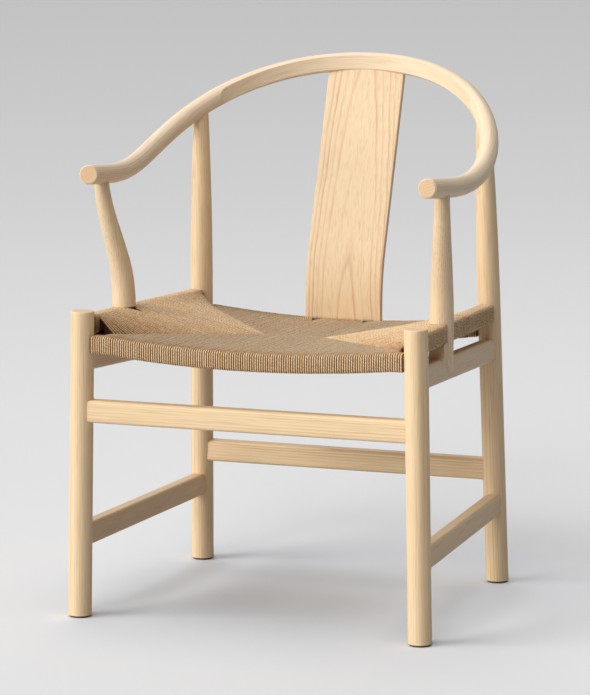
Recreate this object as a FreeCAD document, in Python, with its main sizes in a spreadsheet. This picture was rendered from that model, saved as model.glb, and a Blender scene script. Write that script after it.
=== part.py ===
import FreeCAD, Part
import math
import os
import Sketcher
from types import SimpleNamespace

# Armchair with a horseshoe back: a bent round bow on four turned legs, a thin splat,
# two S-curved arm posts and a woven cord seat. Millimetres, +Z up, the floor at zero,
# the sitter looks along -Y. Left and right are as seen from the front.
# The origin lies on the floor under the middle of the chair's overall size.

doc = FreeCAD.newDocument("HorseshoeArmchair")
Vec = FreeCAD.Vector
UP = Vec(0, 0, 1)
SIDES = {"left": -1, "right": 1}

# Driving dimensions: name, value, meaning. Angles are in degrees, all others in millimetres.
DRIVING = [
    ("overall_height", 800.0, "floor to the top of the bow"),
    ("overall_width", 566.0, "across the bow at its widest"),
    ("overall_depth", 559.4, "front of the front legs to the back of the bow"),
    ("joint_gap", 0.1, "glue line round a tenon or along a shoulder"),
    ("soft_gap", 0.3, "clear space between cord and wood"),
    ("overrun", 4.0, "how far a cutter runs past what it cuts"),
    ("leg_diameter", 34.6, "turned legs below the seat"),
    ("leg_top_height", 455.0, "floor to the top of the front legs"),
    ("leg_top_rounding", 2.0, "softened arris of the front legs' tops"),
    ("front_foot_spread", 264.0, "middle plane to a front leg's axis at the floor"),
    ("front_top_spread", 255.5, "middle plane to a front leg's axis at its top"),
    ("back_foot_spread", 243.7, "middle plane to a back leg's axis at the floor"),
    ("back_foot_reach", 175.0, "origin back to the back legs' axes at the floor"),
    ("taper_start_height", 430.0, "height where the back legs begin to taper"),
    ("leg_neck_diameter", 22.0, "back leg where it meets the bow"),
    ("glide_diameter", 30.0, "pad under a foot"),
    ("glide_height", 3.0, "thickness of that pad"),
    ("glide_pin_diameter", 5.0, "stem that holds the pad in the leg"),
    ("glide_pin_length", 14.0, "length of that stem"),
    ("bow_diameter", 28.7, "round rod of the bow"),
    ("bow_low_height", 641.0, "lowest point of the bow's axis, along the arms"),
    ("bow_widest_reach", 11.0, "origin forward to the bow's widest place"),
    ("arm_tip_reach", 228.0, "origin forward to the arms' ends"),
    ("arm_taper", 9.5, "how far each arm draws in from the widest place to its end"),
    ("facet_depth", 4.4, "depth of the planed inner face across the back"),
    ("facet_half_length", 202.0, "middle plane to where the planed face begins to run out"),
    ("facet_scoop_radius", 30.0, "round in which the planed face runs out at its ends"),
    ("bow_mortise_roof", 5.0, "wood left in the bow above a round tenon"),
    ("leg_tenon_diameter", 14.0, "round tenon of a back leg in the bow"),
    ("post_tenon_diameter", 12.0, "round tenon of an arm post in the bow"),
    ("splat_width", 123.0, "width of the back board"),
    ("splat_thickness", 9.5, "thickness of the back board"),
    ("splat_bend_height", 465.4, "floor to the corner where its leaning part meets its plumb foot"),
    ("splat_bend_radius", 250.0, "bend at that corner"),
    ("splat_arris", 1.6, "softened long edges of the board"),
    ("splat_tongue_width", 96.0, "tongue of the board in the bow"),
    ("splat_tongue_thickness", 5.5, "thickness of that tongue"),
    ("splat_tongue_length", 16.0, "length of that tongue in the bow"),
    ("splat_foot_width", 12.0, "width of each of the board's two foot tenons"),
    ("splat_foot_spacing", 84.0, "distance between those tenons"),
    ("splat_foot_length", 14.0, "length of those tenons in the back rail"),
    ("post_base_diameter", 35.0, "arm post at the seat"),
    ("post_top_diameter", 21.6, "arm post under the bow"),
    ("post_base_reach", 125.0, "origin forward to the arm post's foot"),
    ("post_bend_start", 460.0, "height where the arm post begins to curve forward"),
    ("tongue_foot_height", 373.0, "floor to the lower end of the post's outer tongue"),
    ("housing_depth", 0.6, "how deep the tongue is let into the apron's face"),
    ("tenon_thickness", 9.0, "rail tenons"),
    ("tenon_shoulder", 3.5, "shoulder above and below a rail tenon"),
    ("tenon_end_gap", 1.0, "space between the ends of two tenons that meet in a leg"),
    ("cord_diameter", 3.3, "paper cord, and so the cord layer on a rail"),
    ("side_rail_width", 19.5, "bare side seat rail"),
    ("side_rail_height", 23.0, "bare side seat rail"),
    ("side_rail_front_height", 433.6, "floor to its axis at the front leg"),
    ("side_rail_back_height", 420.8, "floor to its axis at the back leg"),
    ("cross_rail_width", 16.5, "bare front and back seat rails"),
    ("cross_rail_height", 22.0, "bare front and back seat rails"),
    ("front_rail_height", 406.4, "floor to the front seat rail's axis at its ends"),
    ("front_rail_sag", 11.8, "dip of the front seat rail at its middle"),
    ("back_rail_height", 396.6, "floor to the back seat rail's axis at its ends"),
    ("back_rail_sag", 13.0, "dip of the back seat rail at its middle"),
    ("seat_rail_arris", 3.0, "rounded arrises of the bare seat rails"),
    ("bar_width", 23.0, "stretchers and aprons"),
    ("bar_height", 33.5, "stretchers and aprons"),
    ("bar_arris", 5.5, "rounded arrises of the stretchers and aprons"),
    ("front_stretcher_height", 308.4, "floor to its axis"),
    ("back_stretcher_height", 177.5, "floor to its axis"),
    ("side_stretcher_front_height", 121.8, "floor to its axis at the front leg"),
    ("side_stretcher_back_height", 123.8, "floor to its axis at the back leg"),
    ("apron_front_height", 384.3, "floor to its axis at the front leg"),
    ("apron_back_height", 363.6, "floor to its axis at the back leg"),
    ("upstand_front_length", 32.0, "upstand ahead of the arm post's axis"),
    ("upstand_back_length", 18.0, "upstand behind the arm post's axis"),
    ("upstand_cove", 8.0, "cove between the upstand and the apron's top"),
    ("weave_top_height", 403.5, "top of the weave at the middle of the seat"),
    ("weave_depth", 14.0, "both layers and their packing at the middle of the seat"),
    ("weave_apex_spread", 46.5, "middle plane to the points of the side fields"),
    ("weave_apex_reach", 64.0, "origin forward to the points of the side fields"),
    ("corner_opening", 14.0, "open corner between the first strands and a leg"),
    ("tack_diameter", 1.6, "cord tack"),
    ("tack_length", 14.0, "cord tack"),
    ("tack_pitch", 60.0, "from a leg's axis to its cord tack"),
]

sheet = doc.addObject("Spreadsheet::Sheet", "Sizes")
for row, (alias, amount, meaning) in enumerate(DRIVING, start=1):
    sheet.set(f"A{row}", alias)
    sheet.set(f"B{row}", str(amount))
    sheet.set(f"C{row}", meaning)
    sheet.setAlias(f"B{row}", alias)
doc.recompute()


class Size:
    """A size with its value and the formula that gives it from the sheet."""

    def __init__(self, value, formula):
        self.value = float(value)
        self.formula = formula

    def _join(self, other, sign, value):
        text = other.formula if isinstance(other, Size) else repr(other)
        return Size(value, f"({self.formula} {sign} {text})")

    def __add__(self, other):
        return self._join(other, "+", self.value + number(other))

    def __sub__(self, other):
        return self._join(other, "-", self.value - number(other))

    def __mul__(self, other):
        return self._join(other, "*", self.value * number(other))

    def __truediv__(self, other):
        return self._join(other, "/", self.value / number(other))

    def __neg__(self):
        return Size(-self.value, f"(-{self.formula})")


def number(size):
    """The plain value of a size or number."""
    return size.value if isinstance(size, Size) else float(size)


def bind(obj, **sizes):
    """Binds an object's properties to the sheet."""
    for name, size in sizes.items():
        setattr(obj, name, number(size))
        if isinstance(size, Size):
            obj.setExpression(name, size.formula)


# d holds sizes with their formulas, n the same names as plain numbers.
d = SimpleNamespace(**{row[0]: Size(sheet.get(row[0]), "Sizes." + row[0]) for row in DRIVING})
n = SimpleNamespace(**{row[0]: float(sheet.get(row[0])) for row in DRIVING})

leg_radius = d.leg_diameter / 2
bow_radius = d.bow_diameter / 2


# Frames and lines that several pieces share

def on_line(line, height):
    """The point of a leg's axis at a height."""
    foot, top = line
    return foot + (top - foot) * ((height - foot.z) / (top.z - foot.z))


def frame_along(start, end, lift=UP):
    """A placement at start whose X axis runs to end and whose Z axis leans to lift."""
    along = (end - start).normalize()
    sideways = lift.cross(along).normalize()
    return FreeCAD.Placement(start, FreeCAD.Rotation(along, sideways, along.cross(sideways), "XYZ"))


def upright_frame(line, height=0.0):
    """A placement on a leg's axis whose Z axis runs up the leg."""
    foot, top = line
    lean = FreeCAD.Rotation(UP, top - foot)
    return FreeCAD.Placement(on_line(line, height), lean)


def moved(placement, x=0.0, y=0.0, z=0.0):
    """A placement shifted in its own axes."""
    return placement.multiply(FreeCAD.Placement(Vec(x, y, z), FreeCAD.Rotation()))


# The bow's axis: half an ellipse seen from above, then two arms that draw in a little.
# It stands at stations: angles on the ellipse from the middle of the back, then shares of
# the arm. The second arm share is where the post stands. Heights are shares of the rise.
bow_half_width = n.overall_width / 2 - bow_radius.value
bow_back_reach = n.overall_depth / 2 - bow_radius.value
bow_back_height = n.overall_height - bow_radius.value
bow_ellipse_depth = bow_back_reach + n.bow_widest_reach
arm_length = n.arm_tip_reach - n.bow_widest_reach
bow_angles = [0.0, 20.0, 40.0, 58.0, 75.0, 90.0]
arm_shares = [0.36, 0.74, 1.0]
bow_height_shares = [1.0, 0.948, 0.783, 0.541, 0.263, 0.072, 0.0, 0.028, 0.063]
LEG_STATION = 3
POST_STATION = 7


def bow_stations():
    """Points of the bow's axis on the right side, from the middle of the back to the tip."""
    flat = []
    for angle in bow_angles:
        turn = math.radians(angle)
        reach = bow_ellipse_depth * math.cos(turn) - n.bow_widest_reach
        flat.append((bow_half_width * math.sin(turn), reach))
    for share in arm_shares:
        flat.append((bow_half_width - n.arm_taper * share ** 2, -n.bow_widest_reach - arm_length * share))
    rise = bow_back_height - n.bow_low_height
    heights = [n.bow_low_height + rise * share for share in bow_height_shares]
    return [Vec(x, y, z) for (x, y), z in zip(flat, heights)]


half_bow = bow_stations()
bow_points = [Vec(-p.x, p.y, p.z) for p in reversed(half_bow[1:])] + half_bow
bow_axis = Part.BSplineCurve()
bow_axis.interpolate(bow_points)


def bow_point(side, station):
    """A station of the bow's axis on one side."""
    point = half_bow[station]
    return Vec(side * point.x, point.y, point.z)


front_leg_reach = n.overall_depth / 2 - leg_radius.value


def leg_line(side, end):
    """Foot and top of a leg's axis. Back legs run up to the bow's axis."""
    if end == "front":
        foot = Vec(side * n.front_foot_spread, -front_leg_reach, 0)
        return foot, Vec(side * n.front_top_spread, -front_leg_reach, n.leg_top_height)
    return Vec(side * n.back_foot_spread, n.back_foot_reach, 0), bow_point(side, LEG_STATION)


def side_line(side, front_height, back_height):
    """The axis of a member between the two legs of one side."""
    return on_line(leg_line(side, "front"), front_height), on_line(leg_line(side, "back"), back_height)


def cross_line(end, height):
    """The axis of a member between the two front or the two back legs."""
    return on_line(leg_line(-1, end), height), on_line(leg_line(1, end), height)


def point_at_reach(line, reach):
    """The point of a line at a place along Y."""
    start, end = line
    return start + (end - start) * ((reach - start.y) / (end.y - start.y))


# Small builders

def join(name, pieces):
    """One object of several that touch or overlap."""
    if len(pieces) == 1:
        return pieces[0]
    fused = doc.addObject("Part::MultiFuse", name)
    fused.Shapes = pieces
    return fused


def cut(name, base, tools):
    """Base without its tools."""
    piece = doc.addObject("Part::Cut", name)
    piece.Base = base
    piece.Tool = join(name + "Tools", tools)
    return piece


def box(name, placement, length, width, height):
    """A box from the placement along its X axis, centred in Y and Z."""
    block = doc.addObject("Part::Box", name)
    bind(block, Length=length, Width=width, Height=height)
    block.Placement = moved(placement, y=-number(width) / 2, z=-number(height) / 2)
    return block


def rod(name, placement, radius, height):
    """A cylinder along the placement's Z axis."""
    cylinder = doc.addObject("Part::Cylinder", name)
    bind(cylinder, Radius=radius, Height=height)
    cylinder.Placement = placement
    return cylinder


def rounded_bar(name, line, width, height, arris):
    """A bar along a line, with its long arrises rounded."""
    start, end = line
    bar = box(name + "Blank", frame_along(start, end), (end - start).Length, width, height)
    doc.recompute()
    along = (end - start).normalize()
    edges = []
    for index, edge in enumerate(bar.Shape.Edges, start=1):
        if abs(edge.tangentAt(edge.FirstParameter).dot(along)) > math.cos(math.radians(1)):
            edges.append((index, number(arris), number(arris)))
    rounded = doc.addObject("Part::Fillet", name)
    rounded.Base = bar
    rounded.Edges = edges
    return rounded


def tube(name, points, directions, radii):
    """A round member through circles that stand across its axis."""
    rings = []
    for index, (point, direction, radius) in enumerate(zip(points, directions, radii)):
        ring = doc.addObject("Part::Circle", f"{name}Ring{index}")
        bind(ring, Radius=radius)
        sideways = direction.cross(UP)
        if sideways.Length < math.sin(math.radians(1)):
            sideways = Vec(0, 1, 0)
        sideways = sideways.normalize()
        rotation = FreeCAD.Rotation(sideways, direction.cross(sideways), direction, "ZXY")
        ring.Placement = FreeCAD.Placement(point, rotation)
        rings.append(ring)
    skin = doc.addObject("Part::Loft", name)
    skin.Sections = rings
    skin.Solid = True
    skin.Ruled = False
    return skin


def body_plane(body, role):
    """One of a body's own origin planes."""
    return [plane for plane in body.Origin.OriginFeatures if plane.Role == role][0]


def outline(body, name, role, corners, arcs=None, closed=True):
    """A sketch through corners, given as pairs of sizes, with arcs as {edge: radius}."""
    sketch = body.newObject("Sketcher::SketchObject", name)
    sketch.AttachmentSupport = [(body_plane(body, role), "")]
    sketch.MapMode = "FlatFace"
    arcs = arcs or {}
    flat = [Vec(number(x), number(y), 0) for x, y in corners]
    count = len(corners) if closed else len(corners) - 1
    for index in range(count):
        start, end = flat[index], flat[(index + 1) % len(flat)]
        if index in arcs:
            sketch.addGeometry(arc_between(start, end, number(arcs[index])))
        else:
            sketch.addGeometry(Part.LineSegment(start, end))
    tie_outline(sketch, corners, arcs, count)
    return sketch


def arc_between(start, end, radius):
    """An arc from start to end; a positive radius bulges to the right of the way."""
    chord = end - start
    middle = start + chord / 2
    sideways = Vec(chord.y, -chord.x, 0).normalize()
    size = abs(radius)
    drop = size - math.sqrt(size ** 2 - (chord.Length / 2) ** 2)
    return Part.Arc(start, middle + sideways * math.copysign(drop, radius), end)


def tie_outline(sketch, corners, arcs, count):
    """Ties every corner and arc of a sketch to the sheet."""
    ends = []
    for index in range(count):
        first, last = 1, 2
        if index in arcs:
            start = Vec(number(corners[index][0]), number(corners[index][1]), 0)
            finish = Vec(number(corners[index + 1][0]), number(corners[index + 1][1]), 0)
            corner = sketch.getPoint(index, 1)
            if (corner - start).Length > (corner - finish).Length:
                first, last = 2, 1
        ends.append((first, last))
    for index in range(count):
        following = (index + 1) % len(corners)
        if following < count:
            sketch.addConstraint(Sketcher.Constraint(
                "Coincident", index, ends[index][1], following, ends[following][0]))
    for index, corner in enumerate(corners):
        edge, end = (index, ends[index][0]) if index < count else (count - 1, ends[-1][1])
        for kind, size in zip(("DistanceX", "DistanceY"), corner):
            which = sketch.addConstraint(Sketcher.Constraint(kind, -1, 1, edge, end, number(size)))
            if isinstance(size, Size):
                sketch.setExpression(f"Constraints[{which}]", size.formula)
    for index, radius in arcs.items():
        which = sketch.addConstraint(Sketcher.Constraint("Radius", index, abs(number(radius))))
        if isinstance(radius, Size):
            formula = radius.formula if radius.value > 0 else (-radius).formula
            sketch.setExpression(f"Constraints[{which}]", formula)


def rounded_section(low, high, half_height, arris, rounded=(0, 1, 2, 3)):
    """Corners and arcs of a rectangle whose named corners are rounded, from the lower first."""
    square = [
        (low, -half_height, (0, 1), (1, 0)),
        (high, -half_height, (-1, 0), (0, 1)),
        (high, half_height, (0, -1), (-1, 0)),
        (low, half_height, (1, 0), (0, -1)),
    ]
    corners, arcs = [], {}
    for index, (across, up, before, after) in enumerate(square):
        if index not in rounded:
            corners.append((across, up))
            continue
        arcs[len(corners)] = arris
        for step in (before, after):
            x = across + arris * step[0] if step[0] else across
            y = up + arris * step[1] if step[1] else up
            corners.append((x, y))
    return corners, arcs


def swept(body, name, section, path, edges):
    """A body's section led along its path."""
    doc.recompute()
    pipe = body.newObject("PartDesign::AdditivePipe", name)
    pipe.Profile = section
    pipe.Spine = (path, [f"Edge{index + 1}" for index in range(edges)])
    pipe.Transition = "Right corner"
    section.Visibility = False
    path.Visibility = False
    doc.recompute()
    return pipe


# Tenons and the tools that cut round shoulders

def tenon(name, line, at_end, height, width=None, grow=0.0):
    """A tenon at one end of a member, or its mortise when it is grown by the joint gap."""
    start, end = line
    if at_end:
        start, end = end, start
    width = d.tenon_thickness if width is None else width
    inner = d.tenon_thickness / 2 + d.tenon_end_gap - grow
    length = leg_radius + d.overrun - inner
    place = moved(frame_along(start, end), x=number(inner))
    return box(name, place, length, width + grow * 2, height - d.tenon_shoulder * 2 + grow * 2)


def leg_tool(name, line, gap):
    """A straight cylinder round the part of a leg that rails and stretchers meet."""
    low = -number(d.overrun)
    return rod(name, upright_frame(line, low), leg_radius + gap, d.taper_start_height + d.overrun * 4)


members = {}
mortise_list = {(side, end): [] for side in SIDES for end in ("front", "back")}


def shouldered(label, blank, line, height, legs):
    """A member coped round its two legs, with a tenon at each end; its mortises are kept."""
    name = label.title().replace("_", "")
    tools = []
    for index, (side, end) in enumerate(legs):
        leg = leg_line(SIDES[side], end)
        tools.append(leg_tool(f"{name}Cope{index}", leg, d.joint_gap))
    pieces = [cut(name + "Coped", blank, tools)]
    for index, leg in enumerate(legs):
        pieces.append(tenon(f"{name}Tenon{index}", line, index == 1, height))
        mortise = tenon(f"{name}Mortise{index}", line, index == 1, height, grow=d.joint_gap)
        mortise_list[leg].append(mortise)
    member = join(name, pieces)
    member.Label = label
    members[label] = member
    return member


# The bow: a round rod bent to the horseshoe, planed flat inside across the back. Each end of
# the planing tool turns away from the rod by the scoop's turn.

bow_path = doc.addObject("Part::Feature", "BowAxis")
bow_path.Shape = bow_axis.toShape()


def bow_rod(name, radius):
    """The round rod of the bow: a circle led along the bow's axis."""
    ring = doc.addObject("Part::Circle", name + "Ring")
    bind(ring, Radius=radius)
    way = bow_axis.tangent(bow_axis.FirstParameter)[0]
    ring.Placement = FreeCAD.Placement(bow_points[0], FreeCAD.Rotation(UP, way))
    led = doc.addObject("Part::Sweep", name)
    led.Sections = [ring]
    led.Spine = (bow_path, ["Edge1"])
    led.Solid = True
    return led


SCOOP_TURN = 60.0


def bow_facet():
    """The upright tool that planes the inner face: one round sweep across the back, and a
    smaller round at each end, where the plane leaves the rod."""
    turn = math.asin(n.facet_half_length / bow_half_width)
    reach = bow_ellipse_depth * math.cos(turn) - n.bow_widest_reach
    outward_way = Vec(bow_ellipse_depth * math.sin(turn), bow_half_width * math.cos(turn), 0)
    planed = bow_radius.value - n.facet_depth
    end = Vec(n.facet_half_length, reach, 0) - outward_way.normalize() * planed
    crown = bow_back_reach - planed
    middle = Vec(0, (crown ** 2 - end.Length ** 2) / (crown - end.y) / 2, 0)
    across = (end - middle).normalize()
    scoop_middle = end - across * n.facet_scoop_radius
    turned = FreeCAD.Rotation(UP, -SCOOP_TURN).multVec(across)
    clear = scoop_middle + turned * n.facet_scoop_radius
    corners = [(-clear.x, clear.y), (-end.x, end.y), (end.x, end.y), (clear.x, clear.y)]
    low = n.bow_low_height - n.bow_diameter
    body = doc.addObject("PartDesign::Body", "BowFacet")
    scoop = -d.facet_scoop_radius
    outline(body, "BowFacetOutline", "XY_Plane", corners, {0: scoop, 1: middle.y - crown, 2: scoop})
    pad = body.newObject("PartDesign::Pad", "BowFacetReach")
    pad.Profile = body.Group[0]
    bind(pad, Length=d.overall_height - low + d.overrun)
    body.Group[0].Visibility = False
    body.Placement = FreeCAD.Placement(Vec(0, 0, low), FreeCAD.Rotation())
    return body


bow_blank = cut("BowPlaned", bow_rod("BowRod", bow_radius), [bow_facet()])
bow_clearance = bow_rod("BowClearance", bow_radius + d.joint_gap)
bow_mortises = []


def bow_peg(name, foot, tip, diameter, grow):
    """A round tenon that ends in the bow, towards its roof."""
    direction = (tip - foot).normalize()
    past = bow_radius - d.bow_mortise_roof + grow
    before = bow_radius + d.overrun * 2
    place = FreeCAD.Placement(tip - direction * before.value, FreeCAD.Rotation(UP, direction))
    return rod(name, place, diameter / 2 + grow, before + past)


# Back legs: straight turned legs that taper above the seat and end in the bow

def back_leg_blank(side_name):
    """The turned leg along its own axis, from below the floor line to the bow's axis."""
    foot, top = leg_line(SIDES[side_name], "back")
    body = doc.addObject("PartDesign::Body", "BackLegTurned" + side_name.title())
    neck = d.leg_neck_diameter / 2
    length = (top - foot).Length
    rise = length - n.taper_start_height
    drop = leg_radius.value - neck.value
    sweep = (rise ** 2 + drop ** 2) / (2 * drop)
    corners = [
        (0, -d.overrun),
        (leg_radius, -d.overrun),
        (leg_radius, d.taper_start_height),
        (neck, length),
        (0, length),
    ]
    outline(body, "BackLegProfile" + side_name.title(), "XZ_Plane", corners, {2: sweep})
    turn_body(body, "BackLegTurning" + side_name.title())
    body.Placement = upright_frame((foot, top))
    return body


def turn_body(body, name):
    """Turns a body's sketch round its upright axis."""
    sketch = body.Group[0]
    turning = body.newObject("PartDesign::Revolution", name)
    turning.Profile = sketch
    turning.ReferenceAxis = (sketch, ["V_Axis"])
    turning.Angle = 360
    sketch.Visibility = False
    doc.recompute()
    return turning


def floor_cut(name, foot):
    """All of a leg's blank that lies below the top of its glide."""
    reach = d.leg_diameter
    place = FreeCAD.Placement(Vec(foot.x - n.leg_diameter, foot.y, n.glide_height - n.leg_diameter / 2),
                              FreeCAD.Rotation())
    return box(name, place, reach * 2, reach * 2, reach)


# Front legs: plain turned legs with a softened top arris

def front_leg_blank(side_name):
    """The turned leg along its own axis."""
    foot, top = leg_line(SIDES[side_name], "front")
    body = doc.addObject("PartDesign::Body", "FrontLegTurned" + side_name.title())
    length = (top - foot).Length
    corners = [
        (0, -d.overrun),
        (leg_radius, -d.overrun),
        (leg_radius, length - n.leg_top_rounding),
        (leg_radius - d.leg_top_rounding, length),
        (0, length),
    ]
    outline(body, "FrontLegProfile" + side_name.title(), "XZ_Plane", corners, {2: d.leg_top_rounding})
    turn_body(body, "FrontLegTurning" + side_name.title())
    body.Placement = upright_frame((foot, top))
    return body


# Stretchers: rounded bars, tenoned into the round legs

def bar(label, line, legs):
    """A stretcher between two legs."""
    name = label.title().replace("_", "")
    blank = rounded_bar(name + "Bar", line, d.bar_width, d.bar_height, n.bar_arris)
    return shouldered(label, blank, line, d.bar_height, legs)


for end, height in {"front": n.front_stretcher_height, "back": n.back_stretcher_height}.items():
    bar(f"{end}_stretcher", cross_line(end, height), [("left", end), ("right", end)])
for side in SIDES:
    stretcher_line = side_line(SIDES[side], n.side_stretcher_front_height, n.side_stretcher_back_height)
    bar(f"side_stretcher_{side}", stretcher_line, [(side, "front"), (side, "back")])


# Arm post seats: the side rail has an unwrapped block under the post, and the post's outer
# tongue runs down over the block and the apron, let a little into both

side_cord_half_width = d.side_rail_width / 2 + d.cord_diameter
side_cord_half_height = d.side_rail_height / 2 + d.cord_diameter


def rail_line(side):
    """The axis of a side seat rail."""
    return side_line(SIDES[side], n.side_rail_front_height, n.side_rail_back_height)


def apron_line(side):
    """The axis of a side apron."""
    return side_line(SIDES[side], n.apron_front_height, n.apron_back_height)


def post_frame(side):
    """A level placement on the rail's axis under the arm post, X running back."""
    start, end = rail_line(side)
    place = frame_along(start, Vec(end.x, end.y, start.z))
    place.Base = point_at_reach((start, end), -n.post_base_reach)
    return place


def outward(side, distance):
    """The local Y of a side member's frame that lies outside its axis."""
    return -SIDES[side] * number(distance)


def tongue_plane(side):
    """Distance from the rail's axis out to the tongue's flat back."""
    rail_spread = abs(point_at_reach(rail_line(side), -n.post_base_reach).x)
    apron_spread = abs(point_at_reach(apron_line(side), -n.post_base_reach).x)
    apron_face = apron_spread - rail_spread + n.bar_width / 2
    return min(apron_face, side_cord_half_width.value) - n.housing_depth


def tongue_half_width(side):
    """Half the width of the tongue's flat back."""
    return math.sqrt((n.post_base_diameter / 2) ** 2 - tongue_plane(side) ** 2)


def post_block(name, side, grow=0.0):
    """The unwrapped block of the side rail, or the space it takes in a neighbour."""
    half = tongue_half_width(side) + grow
    place = moved(post_frame(side), x=-half)
    width = side_cord_half_width * 2 + grow * 2
    return box(name, place, half * 2, width, side_cord_half_height * 2 + grow * 2)


def tongue_channel(name, side, gap):
    """The space that the tongue takes in the block, the apron and the cord."""
    half = tongue_half_width(side) + gap
    depth = n.post_base_diameter
    low = n.tongue_foot_height - gap - post_frame(side).Base.z
    high = side_cord_half_height.value + n.overrun
    middle = outward(side, tongue_plane(side) - gap + depth / 2)
    place = moved(post_frame(side), x=-half, y=middle, z=(low + high) / 2)
    return box(name, place, half * 2, depth, high - low)


def side_seat_rail(side):
    """A bare seat rail with the block for the post and the holes of its two cord tacks."""
    name = f"SideSeatRail{side.title()}"
    line = rail_line(side)
    bare = rounded_bar(name + "Bar", line, d.side_rail_width, d.side_rail_height, n.seat_rail_arris)
    whole = join(name + "Blank", [bare, post_block(name + "Block", side)])
    holes = [tack(f"{name}TackHole{index}", side, index == 1, n.joint_gap) for index in range(2)]
    blank = cut(name + "Housed", whole, [tongue_channel(name + "Channel", side, n.joint_gap)] + holes)
    legs = [(side, "front"), (side, "back")]
    return shouldered(f"side_seat_rail_{side}", blank, line, d.side_rail_height, legs)


def tack(name, side, at_back, grow=0.0):
    """A cord tack, driven outward into the rail's inner face near a leg."""
    start, end = rail_line(side)
    along = n.tack_pitch if not at_back else (end - start).Length - n.tack_pitch
    inner = outward(side, -n.side_rail_width / 2 - n.cord_diameter / 2)
    spot = moved(frame_along(start, end), x=along, y=inner)
    point_way = Vec(SIDES[side], 0, 0)
    place = FreeCAD.Placement(spot.Base, FreeCAD.Rotation(UP, point_way))
    return rod(name, place, d.tack_diameter / 2 + grow, d.tack_length + grow)


def apron(side):
    """A side apron with its upstand under the post's block."""
    name = f"SideApron{side.title()}"
    line = apron_line(side)
    bare = rounded_bar(name + "Bar", line, d.bar_width, d.bar_height, n.bar_arris)
    frame = frame_along(*line)
    foot = point_at_reach(line, -n.post_base_reach)
    middle = (foot - line[0]).Length
    tall = rail_line(side)[0].z - line[0].z
    length = d.upstand_front_length + d.upstand_back_length
    place = moved(frame, x=middle - n.upstand_front_length, z=tall / 2)
    upstand = box(name + "Upstand", place, length, d.bar_width, tall)
    cove = upstand_cove(name + "Cove", moved(frame, x=middle - n.upstand_front_length, z=n.bar_height / 2))
    whole = join(name + "Blank", [bare, upstand, cove])
    tools = [
        cord_sleeve(name + "CordSpace", side, n.soft_gap),
        post_block(name + "BlockSpace", side, n.joint_gap),
        tongue_channel(name + "Channel", side, n.joint_gap),
    ]
    blank = cut(name + "Housed", whole, tools)
    return shouldered(f"side_apron_{side}", blank, line, d.bar_height, [(side, "front"), (side, "back")])


def upstand_cove(name, corner):
    """The cove in the corner between the apron's top and the front of its upstand."""
    size = d.upstand_cove
    low = d.bar_arris
    place = moved(corner, x=-n.upstand_cove, z=(n.upstand_cove - n.bar_arris) / 2)
    fill = box(name + "Fill", place, size + d.overrun, d.bar_width, size + low)
    across = moved(corner, x=-n.upstand_cove, y=-n.bar_width / 2 - n.overrun, z=n.upstand_cove)
    across.Rotation = across.Rotation.multiply(FreeCAD.Rotation(UP, Vec(0, 1, 0)))
    hollow = rod(name + "Hollow", across, size, d.bar_width + d.overrun * 2)
    return cut(name, fill, [hollow])


def cord_sleeve(name, side, grow=0.0):
    """The cord round a side seat rail, as one rounded bar without its wooden core."""
    width = side_cord_half_width * 2 + grow * 2
    height = side_cord_half_height * 2 + grow * 2
    return rounded_bar(name, rail_line(side), width, height, n.cord_diameter + n.seat_rail_arris)


for side in SIDES:
    side_seat_rail(side)
    apron(side)


# Front and back seat rails: bars that dip in the middle. Their ends run level over a share
# of the half length.
FLAT_SHARES = {"front": 0.15, "back": 0.07}
CROSS_HEIGHT = {"front": d.front_rail_height, "back": d.back_rail_height}
CROSS_SAG = {"front": d.front_rail_sag, "back": d.back_rail_sag}


def cross_rail_line(end):
    """The axis of the front or back seat rail, as if it did not dip."""
    return cross_line(end, number(CROSS_HEIGHT[end]))


def dip(end, spread):
    """How far a cross rail lies below its ends at a distance from the middle."""
    bend = abs(cross_rail_line(end)[1].x) * (1 - FLAT_SHARES[end])
    return number(CROSS_SAG[end]) * max(0.0, 1 - (spread / bend) ** 2)


def dipped_bar(name, end, front, back, half_height, arris, rounded=(0, 1, 2, 3)):
    """A bar led along the dipped line; front and back are its faces from the rail's axis."""
    half = abs(cross_rail_line(end)[1].x)
    bend = half * (1 - FLAT_SHARES[end])
    sag = number(CROSS_SAG[end])
    sweep = (bend ** 2 + sag ** 2) / (2 * sag)
    body = doc.addObject("PartDesign::Body", name)
    corners, arcs = rounded_section(front, back, half_height, arris, rounded)
    section = outline(body, name + "Section", "YZ_Plane", corners, arcs)
    section.AttachmentOffset = FreeCAD.Placement(Vec(0, 0, -half), FreeCAD.Rotation())
    way = [(-half, 0), (-bend, 0), (bend, 0), (half, 0)]
    path = outline(body, name + "Path", "XZ_Plane", way, {1: sweep}, closed=False)
    swept(body, name + "Sweep", section, path, 3)
    body.Placement = FreeCAD.Placement(Vec(0, cross_rail_line(end)[0].y, number(CROSS_HEIGHT[end])),
                                       FreeCAD.Rotation())
    doc.recompute()
    return body


def cross_seat_rail(end):
    """The bare front or back seat rail."""
    name = f"{end.title()}SeatRail"
    half_width = d.cross_rail_width / 2
    half_height = d.cross_rail_height / 2
    blank = dipped_bar(name + "Bar", end, -half_width, half_width, half_height, d.seat_rail_arris)
    if end == "back":
        blank = cut(name + "Housed", blank, splat_feet(name + "SplatMortise", n.joint_gap))
    return shouldered(f"{end}_seat_rail", blank, cross_rail_line(end), d.cross_rail_height,
                      [("left", end), ("right", end)])


# Splat: a thin board, plumb at its foot, then bent to lean back into the bow

splat_reach = cross_rail_line("back")[0].y
splat_foot_height = (n.back_rail_height + n.cross_rail_height / 2 + n.cord_diameter + n.soft_gap
                     - dip("back", n.splat_width / 2))
bow_middle = Vec(0, bow_back_reach, bow_back_height)
lean_way = (bow_middle - Vec(0, splat_reach, n.splat_bend_height)).normalize()
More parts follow.
